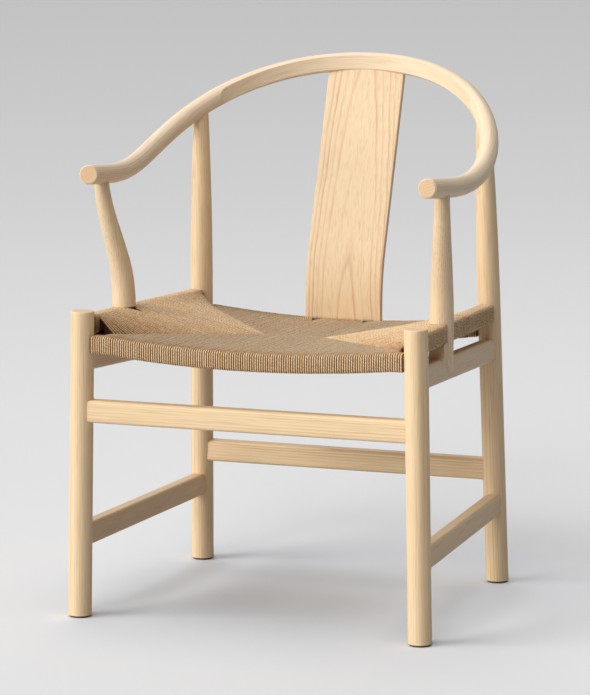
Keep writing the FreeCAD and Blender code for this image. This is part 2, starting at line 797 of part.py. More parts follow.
# The bend takes at most this share of the plumb foot.
BEND_SHARE = 0.85


def splat_path(body):
    """The board's centre line in its own plane: plumb, bend, lean, to inside the bow."""
    tip = bow_middle - lean_way * (bow_radius.value / 2)
    knee = n.splat_bend_height - splat_foot_height
    half_turn = math.tan(math.acos(lean_way.z) / 2)
    run = min(n.splat_bend_radius * half_turn, knee * BEND_SHARE)
    last = Vec(0, lean_way.y * run, knee + lean_way.z * run)
    way = [(0, 0), (0, knee - run), (last.y, last.z), (tip.y - splat_reach, tip.z - splat_foot_height)]
    return outline(body, "SplatPath", "YZ_Plane", way, {1: -run / half_turn}, closed=False)


def splat_board():
    """The bent board up to inside the bow."""
    body = doc.addObject("PartDesign::Body", "SplatBoard")
    half_width = d.splat_width / 2
    corners, arcs = rounded_section(-half_width, half_width, d.splat_thickness / 2, d.splat_arris)
    section = outline(body, "SplatSection", "XY_Plane", corners, arcs)
    swept(body, "SplatBend", section, splat_path(body), 3)
    body.Placement = FreeCAD.Placement(Vec(0, splat_reach, splat_foot_height), FreeCAD.Rotation())
    return body


def splat_tongue(name, grow=0.0):
    """The tongue that enters the bow, or its mortise."""
    start = bow_middle - lean_way * (bow_radius.value + n.overrun * 2)
    length = d.overrun * 2 + d.splat_tongue_length + grow
    return box(name, frame_along(start, bow_middle), length, d.splat_tongue_width + grow * 2,
               d.splat_tongue_thickness + grow * 2)


def splat_feet(name, grow=0.0):
    """The two foot tenons that pass between the cords into the back rail, or their mortises."""
    top = splat_foot_height + n.overrun
    bottom = splat_foot_height - n.cord_diameter - n.soft_gap - n.splat_foot_length - grow
    width = d.splat_foot_width + grow * 2
    depth = d.splat_tongue_thickness + grow * 2
    feet = []
    for side, sign in SIDES.items():
        left = sign * n.splat_foot_spacing / 2 - n.splat_foot_width / 2 - grow
        place = FreeCAD.Placement(Vec(left, splat_reach, (top + bottom) / 2), FreeCAD.Rotation())
        feet.append(box(f"{name}{side.title()}", place, width, depth, top - bottom))
    return feet


board = cut("SplatTrimmed", splat_board(), [bow_clearance])
splat = join("Splat", [board, splat_tongue("SplatTongue")] + splat_feet("SplatFoot"))
splat.Label = "splat"
members["splat"] = splat
bow_mortises.append(splat_tongue("SplatTongueMortise", n.joint_gap))
for end in ("front", "back"):
    cross_seat_rail(end)


# Arm posts: round and plumb at the seat, then S-curved forward and outward to the bow,
# thinner as they rise; the inner half of the foot is notched over the rail's block
POST_SHARES = [0.0, 0.17, 0.34, 0.5, 0.66, 0.83, 1.0]


def ease(share):
    """A smooth rise from nought to one, level at both ends."""
    return share * share * (3 - 2 * share)


def ease_slope(share):
    """How fast that rise runs."""
    return 6 * share * (1 - share)


def post_blank(side):
    """The post before its notch and its shoulder under the bow."""
    foot = post_frame(side).Base
    tip = bow_point(SIDES[side], POST_STATION)
    shift = Vec(tip.x - foot.x, tip.y - foot.y, 0)
    rise = tip.z - n.post_bend_start
    points = [
        Vec(foot.x, foot.y, n.tongue_foot_height),
        Vec(foot.x, foot.y, (n.tongue_foot_height + n.post_bend_start) / 2),
    ]
    directions = [UP, UP]
    radii = [d.post_base_diameter / 2, d.post_base_diameter / 2]
    for share in POST_SHARES:
        points.append(Vec(foot.x, foot.y, n.post_bend_start + rise * share) + shift * ease(share))
        directions.append((shift * ease_slope(share) + UP * rise).normalize())
        thinned = (share + ease(share)) / 4
        radii.append(d.post_base_diameter / 2 - (d.post_base_diameter - d.post_top_diameter) * thinned)
    return tube("ArmPostTube" + side.title(), points, directions, radii)


def post_notch(name, side):
    """The notch over the rail's block, open to the inside and downward."""
    depth = d.post_base_diameter
    low = n.tongue_foot_height - n.overrun - post_frame(side).Base.z
    high = side_cord_half_height.value + n.joint_gap
    middle = outward(side, tongue_plane(side) - depth.value / 2)
    place = moved(post_frame(side), x=-depth.value, y=middle, z=(low + high) / 2)
    return box(name, place, depth * 2, depth, high - low)


def arm_post(side):
    """An arm post with its round tenon in the bow."""
    name = f"ArmPost{side.title()}"
    tip = bow_point(SIDES[side], POST_STATION)
    trimmed = cut(name + "Trimmed", post_blank(side), [post_notch(name + "Notch", side), bow_clearance])
    post = join(name, [trimmed, bow_peg(name + "Peg", tip - UP, tip, d.post_tenon_diameter, 0.0)])
    post.Label = f"arm_post_{side}"
    members[post.Label] = post
    bow_mortises.append(bow_peg(name + "Mortise", tip - UP, tip, d.post_tenon_diameter, n.joint_gap))


for side in SIDES:
    arm_post(side)


# Woven seat: cord round all four rails and the dished field between them, in two layers.
# The field is a skin through sections at the front, at the points of the side fields and
# at the back, and each section runs rail, mitre, quarter, middle, quarter, mitre, rail.

# The card stops short of the cross rails by a share of the way to the side fields' points,
# and reaches a share of the way from the seam to the side rail.
CARD_EDGE_SHARE = 0.16
CARD_RIM_SHARE = 0.8
weave_sink = n.cord_diameter / 4
cross_cord_half_width = d.cross_rail_width / 2 + d.cord_diameter
cross_cord_half_height = d.cross_rail_height / 2 + d.cord_diameter


def inside_of_leg(end):
    """1 where the seat lies behind the leg, -1 where it lies ahead."""
    return 1 if end == "front" else -1


def field_edge_reach(end):
    """Where the field begins behind the front legs and ends ahead of the back legs."""
    return cross_rail_line(end)[0].y + inside_of_leg(end) * (leg_radius.value + n.cord_diameter)


def section_at(reach, spreads, tops, depths):
    """A closed section of the field across the chair; spreads run from the middle outward."""
    right = [Vec(spread, reach, top) for spread, top in zip(spreads, tops)]
    under = [Vec(spread, reach, top - depth) for spread, top, depth in zip(spreads, tops, depths)]
    left_top = [Vec(-p.x, p.y, p.z) for p in reversed(right[1:])]
    left_under = [Vec(-p.x, p.y, p.z) for p in under[1:]]
    return left_top + right + list(reversed(under)) + left_under


def rail_section(end):
    """Spreads, tops and depths of the field beside the front or back rail."""
    reach = field_edge_reach(end)
    crest = point_at_reach(rail_line("right"), reach)
    seam = cross_rail_line(end)[1].x - leg_radius.value - n.cord_diameter * 2
    spreads = [0.0, seam / 2, seam, crest.x]
    top = number(CROSS_HEIGHT[end]) + cross_cord_half_height.value - weave_sink
    tops = [top - dip(end, spread) for spread in spreads[:3]]
    tops.append(crest.z + side_cord_half_height.value - weave_sink)
    depths = [cross_cord_half_height.value * 2 - weave_sink * 2] * 3
    depths.append(side_cord_half_height.value * 2 - weave_sink * 2)
    return reach, spreads, tops, depths


def apex_section():
    """Spreads, tops and depths of the field at the points of the side fields."""
    crest = point_at_reach(rail_line("right"), -n.weave_apex_reach)
    spreads = [0.0, n.weave_apex_spread / 2, n.weave_apex_spread, crest.x]
    tops = [n.weave_top_height] * 3 + [crest.z + side_cord_half_height.value - weave_sink]
    depths = [n.weave_depth] * 3 + [side_cord_half_height.value * 2 - weave_sink * 2]
    return -n.weave_apex_reach, spreads, tops, depths


def skin(name, sections):
    """A solid with straight rulings through closed sections."""
    rings = []
    for index, points in enumerate(sections):
        ring = doc.addObject("Part::Polygon", f"{name}Section{index}")
        ring.Nodes = points
        ring.Close = True
        rings.append(ring)
    solid = doc.addObject("Part::Loft", name)
    solid.Sections = rings
    solid.Solid = True
    solid.Ruled = True
    return solid


def blend(first, second, share):
    """A section on the straight rulings between two sections."""
    return [(1 - share) * a + share * b for a, b in zip(first, second)]


def packing(name, grow):
    """The folded card between the two layers, or its pocket when it is grown."""
    stations = []
    apex = apex_section()
    for end, share in (("front", CARD_EDGE_SHARE), (None, 0), ("back", CARD_EDGE_SHARE)):
        near = rail_section(end) if end else apex
        reach = near[0] + (apex[0] - near[0]) * share
        spreads, tops, depths = [blend(near[i], apex[i], share) for i in (1, 2, 3)]
        for row in (spreads, tops, depths):
            row[3] = row[2] + (row[3] - row[2]) * CARD_RIM_SHARE
        cover = n.cord_diameter + n.soft_gap - grow
        tops = [top - cover for top in tops]
        depths = [depth - cover * 2 for depth in depths]
        spreads[3] = spreads[3] + grow
        if end:
            reach = reach - inside_of_leg(end) * grow
        stations.append(section_at(reach, spreads, tops, depths))
    return skin(name, stations)


def wrap(end):
    """The cord round the front or back rail, on to where the field begins."""
    outer = cross_cord_half_width
    inner = leg_radius + d.cord_diameter
    arris = d.seat_rail_arris + d.cord_diameter
    height = cross_cord_half_height
    if end == "front":
        return dipped_bar("FrontWrap", end, -outer, inner, height, arris, (0, 3))
    return dipped_bar("BackWrap", end, -inner, outer, height, arris, (1, 2))


def corner_hole(name, side, end):
    """The open corner between a leg, its two rails and the first strands."""
    leg = on_line(leg_line(SIDES[side], end), number(CROSS_HEIGHT[end]))
    length = leg_radius - cross_cord_half_width + d.corner_opening
    width = d.leg_diameter * 2
    near = leg.y + inside_of_leg(end) * cross_cord_half_width.value
    low = near if end == "front" else near - length.value
    inner = abs(leg.x) - leg_radius.value - n.corner_opening
    spread = inner if side == "right" else -inner - width.value
    hole = doc.addObject("Part::Box", name)
    bind(hole, Length=width, Width=length, Height=d.leg_diameter * 4)
    hole.Placement = FreeCAD.Placement(Vec(spread, low, leg.z - n.leg_diameter * 2), FreeCAD.Rotation())
    return hole


def post_seat(name, side):
    """Room in the cord for the round foot of an arm post."""
    place = moved(post_frame(side), z=side_cord_half_height.value + n.joint_gap - n.soft_gap)
    return rod(name, place, d.post_base_diameter / 2 + d.soft_gap, d.overrun)


def seat_weave():
    """The whole woven seat as one closed form."""
    sections = []
    for end in ("front", None, "back"):
        reach, spreads, tops, depths = rail_section(end) if end else apex_section()
        if end:
            reach = reach - inside_of_leg(end) * n.overrun
        sections.append(section_at(reach, spreads, tops, depths))
    field = skin("WeaveField", sections)
    holes = [corner_hole(f"WeaveCorner{side.title()}{end.title()}", side, end)
             for side in SIDES for end in ("front", "back")]
    middle = cut("WeaveMiddle", join("WeaveMiddleBlank", [field, wrap("front"), wrap("back")]), holes)
    sleeves = [cord_sleeve(f"CordSleeve{side.title()}", side) for side in SIDES]
    blank = join("WeaveBlank", [middle] + sleeves)
    tools = splat_feet("WeaveSplatSpace", n.soft_gap) + [packing("CardPocket", n.soft_gap)]
    for side in SIDES:
        name = "Weave" + side.title()
        core = rounded_bar(name + "RailSpace", rail_line(side), d.side_rail_width + d.soft_gap * 2,
                           d.side_rail_height + d.soft_gap * 2, n.seat_rail_arris)
        tools += [core, post_block(name + "BlockSpace", side, n.soft_gap)]
        tools.append(tongue_channel(name + "TongueSpace", side, n.soft_gap))
        tools.append(post_seat(name + "PostSpace", side))
        for end in ("front", "back"):
            tools.append(leg_tool(f"{name}{end.title()}LegSpace", leg_line(SIDES[side], end), d.soft_gap))
            tools.append(tack(f"{name}{end.title()}TackSpace", side, end == "back", n.soft_gap))
    half_width, half_height = d.cross_rail_width / 2 + d.soft_gap, d.cross_rail_height / 2 + d.soft_gap
    for end in ("front", "back"):
        name = f"Weave{end.title()}RailSpace"
        tools.append(dipped_bar(name, end, -half_width, half_width, half_height, d.seat_rail_arris))
    weave = cut("SeatWeave", blank, tools)
    weave.Label = "seat_weave"
    members[weave.Label] = weave


seat_weave()
tack_spaces = [tack(f"CardTackSpace{side.title()}{index}", side, index == 1, n.soft_gap)
               for side in SIDES for index in range(2)]
card = cut("CardPacked", packing("CardPacking", 0.0), tack_spaces)
card.Label = "card_packing"
members[card.Label] = card
tacks = [tack(f"Tack{side.title()}{index}", side, index == 1) for side in SIDES for index in range(2)]
tack_set = join("CordTacks", tacks)
tack_set.Label = "cord_tacks"
members[tack_set.Label] = tack_set


# Legs: mortised for the rails and stretchers, standing on glides

def glide_pin(name, foot, grow=0.0):
    """The stem of a glide, or its hole in the leg."""
    place = FreeCAD.Placement(Vec(foot.x, foot.y, n.glide_height / 2), FreeCAD.Rotation())
    return rod(name, place, d.glide_pin_diameter / 2 + grow, d.glide_height / 2 + d.glide_pin_length + grow)


def glide(side, end):
    """A round pad with its stem."""
    name = f"Glide{end.title()}{side.title()}"
    foot = on_line(leg_line(SIDES[side], end), n.glide_height)
    pad = rod(name + "Pad", FreeCAD.Placement(Vec(foot.x, foot.y, 0), FreeCAD.Rotation()),
              d.glide_diameter / 2, d.glide_height - d.joint_gap)
    piece = join(name, [pad, glide_pin(name + "Pin", foot)])
    piece.Label = f"glide_{end}_{side}"
    members[piece.Label] = piece


def leg(side, end):
    """A finished leg."""
    name = f"{end.title()}Leg{side.title()}"
    foot, top = leg_line(SIDES[side], end)
    if end == "front":
        blank = front_leg_blank(side)
    else:
        trimmed = cut(name + "Trimmed", back_leg_blank(side), [bow_clearance])
        peg = bow_peg(name + "Peg", foot, top, d.leg_tenon_diameter, 0.0)
        blank = join(name + "Blank", [trimmed, peg])
        bow_mortises.append(bow_peg(name + "Mortise", foot, top, d.leg_tenon_diameter, n.joint_gap))
    middle = on_line((foot, top), n.glide_height)
    tools = [floor_cut(name + "FloorCut", foot), glide_pin(name + "PinHole", middle, n.joint_gap)]
    piece = cut(name, blank, tools + mortise_list[(side, end)])
    piece.Label = f"{end}_leg_{side}"
    members[piece.Label] = piece


for side in SIDES:
    for end in ("front", "back"):
        leg(side, end)
        glide(side, end)

bow = cut("Bow", bow_blank, bow_mortises)
bow.Label = "bow"
members["bow"] = bow


# Checks, then one file for each piece

doc.recompute()
problems = []
for item in doc.Objects:
    if "Invalid" in item.State or "Error" in item.State:
        problems.append(f"{item.Name}: {item.State}")
for label, item in members.items():
    if item.Shape.isNull() or not item.Shape.isValid() or not item.Shape.Solids:
        problems.append(f"{label}: no valid solid")
if problems:
    raise RuntimeError("; ".join(problems))

os.makedirs("parts", exist_ok=True)
for label, item in members.items():
    item.Shape.exportStep(f"parts/{label}.step")
    print(label, len(item.Shape.Solids), round(item.Shape.Volume))
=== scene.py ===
import math
import random

import bpy
import numpy as np
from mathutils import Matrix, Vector


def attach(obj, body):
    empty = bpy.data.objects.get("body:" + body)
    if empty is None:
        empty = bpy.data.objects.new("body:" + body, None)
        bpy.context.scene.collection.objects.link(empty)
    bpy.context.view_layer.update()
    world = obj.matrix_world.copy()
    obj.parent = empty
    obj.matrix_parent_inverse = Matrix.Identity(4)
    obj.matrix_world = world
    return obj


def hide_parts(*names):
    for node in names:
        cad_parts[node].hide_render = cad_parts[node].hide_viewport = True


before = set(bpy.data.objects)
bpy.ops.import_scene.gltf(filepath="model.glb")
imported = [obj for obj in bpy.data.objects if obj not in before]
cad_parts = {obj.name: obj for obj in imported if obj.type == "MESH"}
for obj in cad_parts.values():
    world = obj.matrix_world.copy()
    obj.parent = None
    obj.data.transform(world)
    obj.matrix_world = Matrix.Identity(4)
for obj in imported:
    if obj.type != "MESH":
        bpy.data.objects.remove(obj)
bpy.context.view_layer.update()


# BACK LEGS
# Two straight ash legs that run up into the bow. Each is turned from one stick with the
# fibres along it, left full below the seat and tapered above, and finished in matt lacquer.

SIDES = {"left": -1, "right": 1}
# Sizes are in mm and Blender works in metres, so a pattern's scale is a metre over its size.
METRE = 1000.0
back_foot = Vector((243.7, 175.0, 0.0))
back_top = Vector((227.8, 135.4, 719.3))
# Where the middle of the tree lies from the foot, to the right and back.
back_heart = (70, 95)
ash_pale = "#F1D4A9"
ash_line = "#D9B183"
ash_pore = "#B98F63"
ash_cut_end = "#DDB98F"
ash_wander_run = 45.0
ash_patch = 28.0
ash_pore_width = 1.4
ash_pore_stretch = 0.025
ash_growth_span = 80.0
# The dark line of a slow ring: places before and past its radius, and its share of depth there.
ash_growth_line = [(-1.1, 0.0), (0.0, 1.0), (0.9, 0.45), (3.0, 0.0)]


def linear(colour):
    """A written sRGB colour as the renderer's linear red, green, blue and alpha."""
    parts = [int(colour[i:i + 2], 16) / 255 for i in (1, 3, 5)]
    return [p / 12.92 if p <= 0.04045 else ((p + 0.055) / 1.055) ** 2.4 for p in parts] + [1.0]


def add(tree, kind, sockets=None, stops=(), **settings):
    """Adds a node with its settings; a socket takes a value or the output that feeds it, and a
    ramp takes stops of (position, linear colour). In a colour mix 0 is the share, 6 and 7 the
    colours and output 2 the result."""
    node = tree.nodes.new(kind)
    for name, value in settings.items():
        setattr(node, name, value)
    for name, value in (sockets or {}).items():
        if isinstance(value, bpy.types.NodeSocket):
            tree.links.new(value, node.inputs[name])
        else:
            node.inputs[name].default_value = value
    if stops:
        elements = node.color_ramp.elements
        while len(elements) < len(stops):
            elements.new(0.5)
        for element, (position, colour) in zip(elements, stops):
            element.position = position
            element.color = colour
    return node


def blank_material(name):
    """A new material and its node tree, with nothing in it yet."""
    material = bpy.data.materials.new(name)
    material.use_nodes = True
    material.node_tree.nodes.clear()
    return material, material.node_tree


def slow_rings(tree, bent, growth):
    """Wide rings, one by one: late wood that darkens quickly and fades more slowly. growth
    gives each ring's radius in mm and its depth of colour."""
    across = add(tree, "ShaderNodeVectorMath", {0: bent, 1: (1, 1, 0)}, operation="MULTIPLY")
    away = add(tree, "ShaderNodeVectorMath", {0: across.outputs[0]}, operation="LENGTH")
    reach = add(tree, "ShaderNodeMapRange", {0: away.outputs["Value"], 1: 0.0, 2: ash_growth_span / METRE})
    lines = [(0.0, 0.0)]
    for radius, depth in growth:
        lines += [(radius + past, depth * share) for past, share in ash_growth_line]
    stops = [(radius / ash_growth_span, (depth, depth, depth, 1.0)) for radius, depth in lines]
    return add(tree, "ShaderNodeValToRGB", {0: reach.outputs[0]}, stops)


def even_rings(tree, bent, ring):
    """Narrow rings of one width in mm. At scale 1 the wave texture repeats every pi / 10."""
    rings = add(tree, "ShaderNodeTexWave",
                {"Vector": bent, "Scale": math.pi / 10 / ring * METRE, "Distortion": 0.9, "Detail": 2.0,
                 "Detail Scale": 0.6},
                wave_type="RINGS", rings_direction="Z", wave_profile="SAW")
    return add(tree, "ShaderNodeMapRange", {0: rings.outputs["Fac"], 1: 0.35, 2: 0.97},
               interpolation_type="SMOOTHSTEP")


def lacquered_ash(name, along, heart, ring=2.6, wander=5.0, stretch=0.07, growth=(), pale=ash_pale,
                  line=ash_line, led=False):
    """Matt lacquered ash. Rings of pale wood end in thin tan lines, so the eye sees long fibres,
    and the cut ends look darker and browner. along is the way of the fibres and heart a point of
    the tree's middle; ring is the rings' width and wander how far they stray, all in mm, over
    runs that stretch draws out along the fibres. With growth the rings are slow and wide
    instead, and led pieces carry the place in their own bent grain."""
    material, tree = blank_material(name)
    if led:
        place = add(tree, "ShaderNodeAttribute", attribute_name="grain").outputs["Vector"]
    else:
        place = add(tree, "ShaderNodeTexCoord").outputs["Object"]
    way = Vector(along).normalized()
    turn = way.rotation_difference(Vector((0, 0, 1)))
    shift = -(turn @ Vector(heart)) / METRE
    local = add(tree, "ShaderNodeMapping", {"Vector": place, "Location": shift, "Rotation": turn.to_euler()})
    long = add(tree, "ShaderNodeMapping", {"Vector": local.outputs[0], "Scale": (1, 1, stretch)})
    drift = add(tree, "ShaderNodeTexNoise",
                {"Vector": long.outputs[0], "Scale": METRE / ash_wander_run,
                 "Detail": 4.5 if growth else 2.0})
    centred = add(tree, "ShaderNodeVectorMath", {0: drift.outputs["Color"], 1: (-0.5, -0.5, -0.5)})
    swing = add(tree, "ShaderNodeVectorMath", {0: centred.outputs[0], "Scale": wander / METRE},
                operation="SCALE")
    bent = add(tree, "ShaderNodeVectorMath", {0: long.outputs[0], 1: swing.outputs[0]}).outputs[0]
    ring_line = slow_rings(tree, bent, growth) if growth else even_rings(tree, bent, ring)
    # Open pores, 0.3 mm wide, are drawn 1.4 mm wide so that they show as fine dashes.
    fine = add(tree, "ShaderNodeMapping", {"Vector": local.outputs[0], "Scale": (1, 1, ash_pore_stretch)})
    pores = add(tree, "ShaderNodeTexNoise",
                {"Vector": fine.outputs[0], "Scale": METRE / ash_pore_width, "Detail": 2.0})
    dashes = add(tree, "ShaderNodeMapRange", {0: pores.outputs["Fac"], 1: 0.5, 2: 0.72})
    # The ring lines are stronger in some patches than in others.
    broad = add(tree, "ShaderNodeTexNoise",
                {"Vector": long.outputs[0], "Scale": METRE / ash_patch, "Detail": 1.0})
    faint, full = (0.4, 0.9) if growth else (0.15, 0.78)
    strength = add(tree, "ShaderNodeMapRange", {0: broad.outputs["Fac"], 1: 0.35, 2: 0.7, 3: faint, 4: full})
    drawn = add(tree, "ShaderNodeMath", {0: ring_line.outputs[0], 1: strength.outputs[0]},
                operation="MULTIPLY")
    wood = add(tree, "ShaderNodeMix", {0: drawn.outputs[0], 6: linear(pale), 7: linear(line)},
               data_type="RGBA")
    pored = add(tree, "ShaderNodeMath", {0: dashes.outputs[0], 1: 0.34}, operation="MULTIPLY")
    pored_wood = add(tree, "ShaderNodeMix", {0: pored.outputs[0], 6: wood.outputs[2], 7: linear(ash_pore)},
                     data_type="RGBA")
    colour = pored_wood.outputs[2]
    if not led:
        # Cut ends drink the lacquer and go tan.
        normal = add(tree, "ShaderNodeNewGeometry").outputs["True Normal"]
        facing = add(tree, "ShaderNodeVectorMath", {0: normal, 1: way}, operation="DOT_PRODUCT")
        square = add(tree, "ShaderNodeMath", {0: facing.outputs["Value"]}, operation="ABSOLUTE")
        end = add(tree, "ShaderNodeMapRange", {0: square.outputs[0], 1: 0.75, 2: 0.97, 4: 0.75})
        ended = add(tree, "ShaderNodeMix", {0: end.outputs[0], 6: colour, 7: linear(ash_cut_end)},
                    data_type="RGBA")
        colour = ended.outputs[2]
    dull = add(tree, "ShaderNodeMapRange", {0: pores.outputs["Fac"], 1: 0.3, 2: 0.8, 3: 0.46, 4: 0.6})
    relief = add(tree, "ShaderNodeMath", {0: dashes.outputs[0], 1: -1.0}, operation="MULTIPLY")
    bump = add(tree, "ShaderNodeBump", {"Height": relief.outputs[0], "Strength": 0.25, "Distance": 0.00012})
    shader = add(tree, "ShaderNodeBsdfPrincipled",
                 {"Base Color": colour, "Roughness": dull.outputs[0], "Normal": bump.outputs[0], "IOR": 1.5,
                  "Coat Weight": 0.08, "Coat Roughness": 0.4})
    add(tree, "ShaderNodeOutputMaterial", {"Surface": shader.outputs[0]})
    return material


def give(node, material):
    """Puts a material on a CAD node that stays as it is."""
    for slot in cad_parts[node].material_slots:
        slot.material = material


def give_ash(node, how, **wood):
    """Puts ash of its own on a CAD node, named for how the piece was shaped, or for its painted shade."""
    give(node, lacquered_ash(f"{how}_ash_{node}", **wood))


for side, sign in SIDES.items():
    lean = back_top - back_foot
    give_ash(f"back_leg_{side}", "turned", along=(sign * lean.x, lean.y, lean.z),
             heart=(sign * back_foot.x + back_heart[0], back_foot.y + back_heart[1], 0))


# FRONT LEGS
# Plain round ash legs that stop just above the seat. They are turned, and the arris of the
# top is eased by hand, so the pale side shows fibres and the top shows rings.

front_foot = Vector((264.0, -262.4, 0.0))
front_top = Vector((255.5, -262.4, 455.0))
front_heart = (-60, 80)
for side, sign in SIDES.items():
    lean = front_top - front_foot
    give_ash(f"front_leg_{side}", "turned", along=(sign * lean.x, lean.y, lean.z),
             heart=(sign * front_foot.x + front_heart[0], front_foot.y + sign * front_heart[1], 0), ring=2.3)


# STRETCHERS
# Four flat ash bars with rounded arrises, coped round the legs and held by hidden tenons.
# Sawn from straight boards and planed, so the lines run the whole length of each bar.

give_ash("front_stretcher", "planed", along=(1, 0, 0), heart=(0, -335, 260), ring=2.7, line="#CB9F70")
give_ash("back_stretcher", "planed", along=(1, 0, 0), heart=(0, 250, 120), ring=2.5, line="#C79A6B")
# The side stretchers' pale is darker than the other ash: painted shade for their faces in shade.
for side, sign in SIDES.items():
    give_ash(f"side_stretcher_{side}", "planed", along=(-sign * 0.05, 1, 0.005), heart=(sign * 190, 0, 60),
             ring=2.7, pale="#E8C99C")


# SEAT RAILS
# Four ash rails under the cord, which hides all but their ends and a glimpse in the gaps. Their
# dark brown is painted shade for the seat's gaps and corner holes, and they have hidden tenons in the legs.

# Painted shade: dark brown in place of the pale ash, so that the rails look dark where they show.
painted_shade_brown = {"pale": "#7A5138", "line": "#5E3A26"}
give_ash("front_seat_rail", "shade_dark", along=(1, 0, 0), heart=(0, -330, 340), **painted_shade_brown)
give_ash("back_seat_rail", "shade_dark", along=(1, 0, 0), heart=(0, 230, 340), **painted_shade_brown)
for side, sign in SIDES.items():
    give_ash(f"side_seat_rail_{side}", "shade_dark", along=(-sign * 0.052, 1, -0.031), heart=(sign * 180, 0, 380),
             **painted_shade_brown)


# SIDE APRONS
# A second ash rail under each side rail, tenoned into the legs, with an upstand that carries
# the arm post. Shaped from one board, with a cove at the front of the upstand.

# The aprons' pale is darker than the other ash: painted shade for their faces in shade.
for side, sign in SIDES.items():
    give_ash(f"side_apron_{side}", "planed", along=(-sign * 0.05, 1, -0.05), heart=(sign * 200, 0, 290),
             ring=2.8, pale="#E5C8A0")


# BOW
# One round ash rod, steamed and bent to a horseshoe, that is top rail and both arms. Its inner
# face is planed flat across the back, and it sits on the tenons of the legs and the arm posts.

bow_radius = 14.35
# The middle line is half an ellipse round the back, widest just before the middle of the chair,
# and then two straighter arms whose tips draw in.
bow_widest = 11.0
bow_half_width = 268.65
bow_depth = 276.35
bow_angles = [0.0, 20.0, 40.0, 58.0, 75.0, 90.0]
bow_arm_length = 217.0
bow_arm_shares = [0.36, 0.74, 1.0]
bow_tips_inward = 9.5
# It stands bow_low high, and above that at shares of bow_rise from the back to the tips.
bow_low = 641.0
bow_rise = 144.65
bow_rise_shares = [1.0, 0.948, 0.783, 0.541, 0.263, 0.072, 0.0, 0.028, 0.063]
# The planed face is full up to bow_planed_reach from the middle and then runs out in a scoop.
bow_planed_depth = 4.4
bow_planed_reach = 202.0
bow_scoop_radius = 30.0
bow_sharp_depth = 0.25
bow_least_half_flat = 0.12
bow_ring_step = 1.6
bow_flat_points = 8
bow_round_points = 36
# Each arm end is eased in three rings: how much smaller it is, and how far in from the end.
bow_tip_easing = [(1.6, 0.0), (1.3, 0.8), (0.6, 1.4)]


def smooth_line(points, step):
    """An even, smooth line through points, and its way at each: a cubic spline on the chord
    lengths whose bend runs on evenly at both ends."""
    points = np.array(points, float)
    chords = np.linalg.norm(np.diff(points, axis=0), axis=1)
    spots = np.concatenate([[0.0], np.cumsum(chords)])
    count = len(points)
    system = np.eye(count)
    right = np.zeros_like(points)
    for i in range(1, count - 1):
        before, after = chords[i - 1], chords[i]
        system[i, i - 1:i + 2] = before, 2 * (before + after), after
        right[i] = 6 * ((points[i + 1] - points[i]) / after - (points[i] - points[i - 1]) / before)
    system[0, 1] = system[-1, -2] = -1.0
    bends = np.linalg.solve(system, right)
    places, slopes = [], []
    for spot in np.linspace(0.0, spots[-1], int(spots[-1] / step) + 1):
        i = min(int(np.searchsorted(spots, spot, side="right")) - 1, count - 2)
        length = chords[i]
        a, b = (spots[i + 1] - spot) / length, (spot - spots[i]) / length
        places.append(a * points[i] + b * points[i + 1]
                      + ((a ** 3 - a) * bends[i] + (b ** 3 - b) * bends[i + 1]) * length ** 2 / 6)
        slopes.append((points[i + 1] - points[i]) / length
                      + ((1 - 3 * a * a) * bends[i] + (3 * b * b - 1) * bends[i + 1]) * length / 6)
    slopes = np.array(slopes)
    return np.array(places), slopes / np.linalg.norm(slopes, axis=1)[:, None]


def make_piece(name, points, faces, materials, face_materials=None, attributes=(), sharp=()):
    """A mesh piece from points in mm, materials and attributes."""
    mesh = bpy.data.meshes.new(name)
    mesh.from_pydata((np.asarray(points) / METRE).tolist(), [], faces)
    for kind, key, values in attributes:
        layer = mesh.attributes.new(key, kind, "POINT")
        field = "value" if kind == "FLOAT" else "vector"
        layer.data.foreach_set(field, np.asarray(values, np.float32).ravel())
    mesh.polygons.foreach_set("use_smooth", [True] * len(mesh.polygons))
    if face_materials is not None:
        mesh.polygons.foreach_set("material_index", face_materials)
    if sharp:
        wanted = {tuple(sorted(pair)) for pair in sharp}
        for edge in mesh.edges:
            edge.use_edge_sharp = tuple(sorted(edge.vertices)) in wanted
    mesh.update()
    piece = bpy.data.objects.new(name, mesh)
    bpy.context.scene.collection.objects.link(piece)
    for material in materials:
        mesh.materials.append(material)
    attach(piece, "root")
    return piece


def bow_stations():
    """Points of the bow's middle line from the left tip round the back to the right tip."""
    half = []
    for angle in bow_angles:
        turned = math.radians(angle)
        half.append((bow_half_width * math.sin(turned), bow_depth * math.cos(turned) - bow_widest))
    for share in bow_arm_shares:
        half.append((bow_half_width - bow_tips_inward * share ** 2, -bow_widest - bow_arm_length * share))
    half = [(x, y, bow_low + bow_rise * share) for (x, y), share in zip(half, bow_rise_shares)]
    return [(-x, y, z) for x, y, z in reversed(half[1:])] + half


def planed_depth(past):
    """Depth of the planed face at a distance past its full end, where it runs out in a scoop."""
    if past >= bow_scoop_radius:
        return 0.0
    rise = math.sqrt(bow_scoop_radius ** 2 - max(0.0, past) ** 2)
    return max(0.0, bow_planed_depth - bow_scoop_radius + rise)


def across_bow(way, middle):
    """The two ways square to the rod: inward to the sitter, and up."""
    inward = np.cross(np.array([0.0, 0.0, 1.0]), way)
    inward /= np.linalg.norm(inward)
    if inward @ np.array([middle[0], middle[1], 0.0]) > 0:
        inward = -inward
    upward = np.cross(way, inward)
    return inward, upward if upward[2] > 0 else -upward


def round_bow(planed):
    """The angles of one ring of points: over the planed face, then round the rest of the rod."""
    half_flat = max(bow_least_half_flat, math.acos(1 - planed / bow_radius))
    face = [half_flat * (2 * k / bow_flat_points - 1) for k in range(bow_flat_points + 1)]
    rest = 2 * (math.pi - half_flat)
    return face + [half_flat + rest * k / bow_round_points for k in range(1, bow_round_points)]


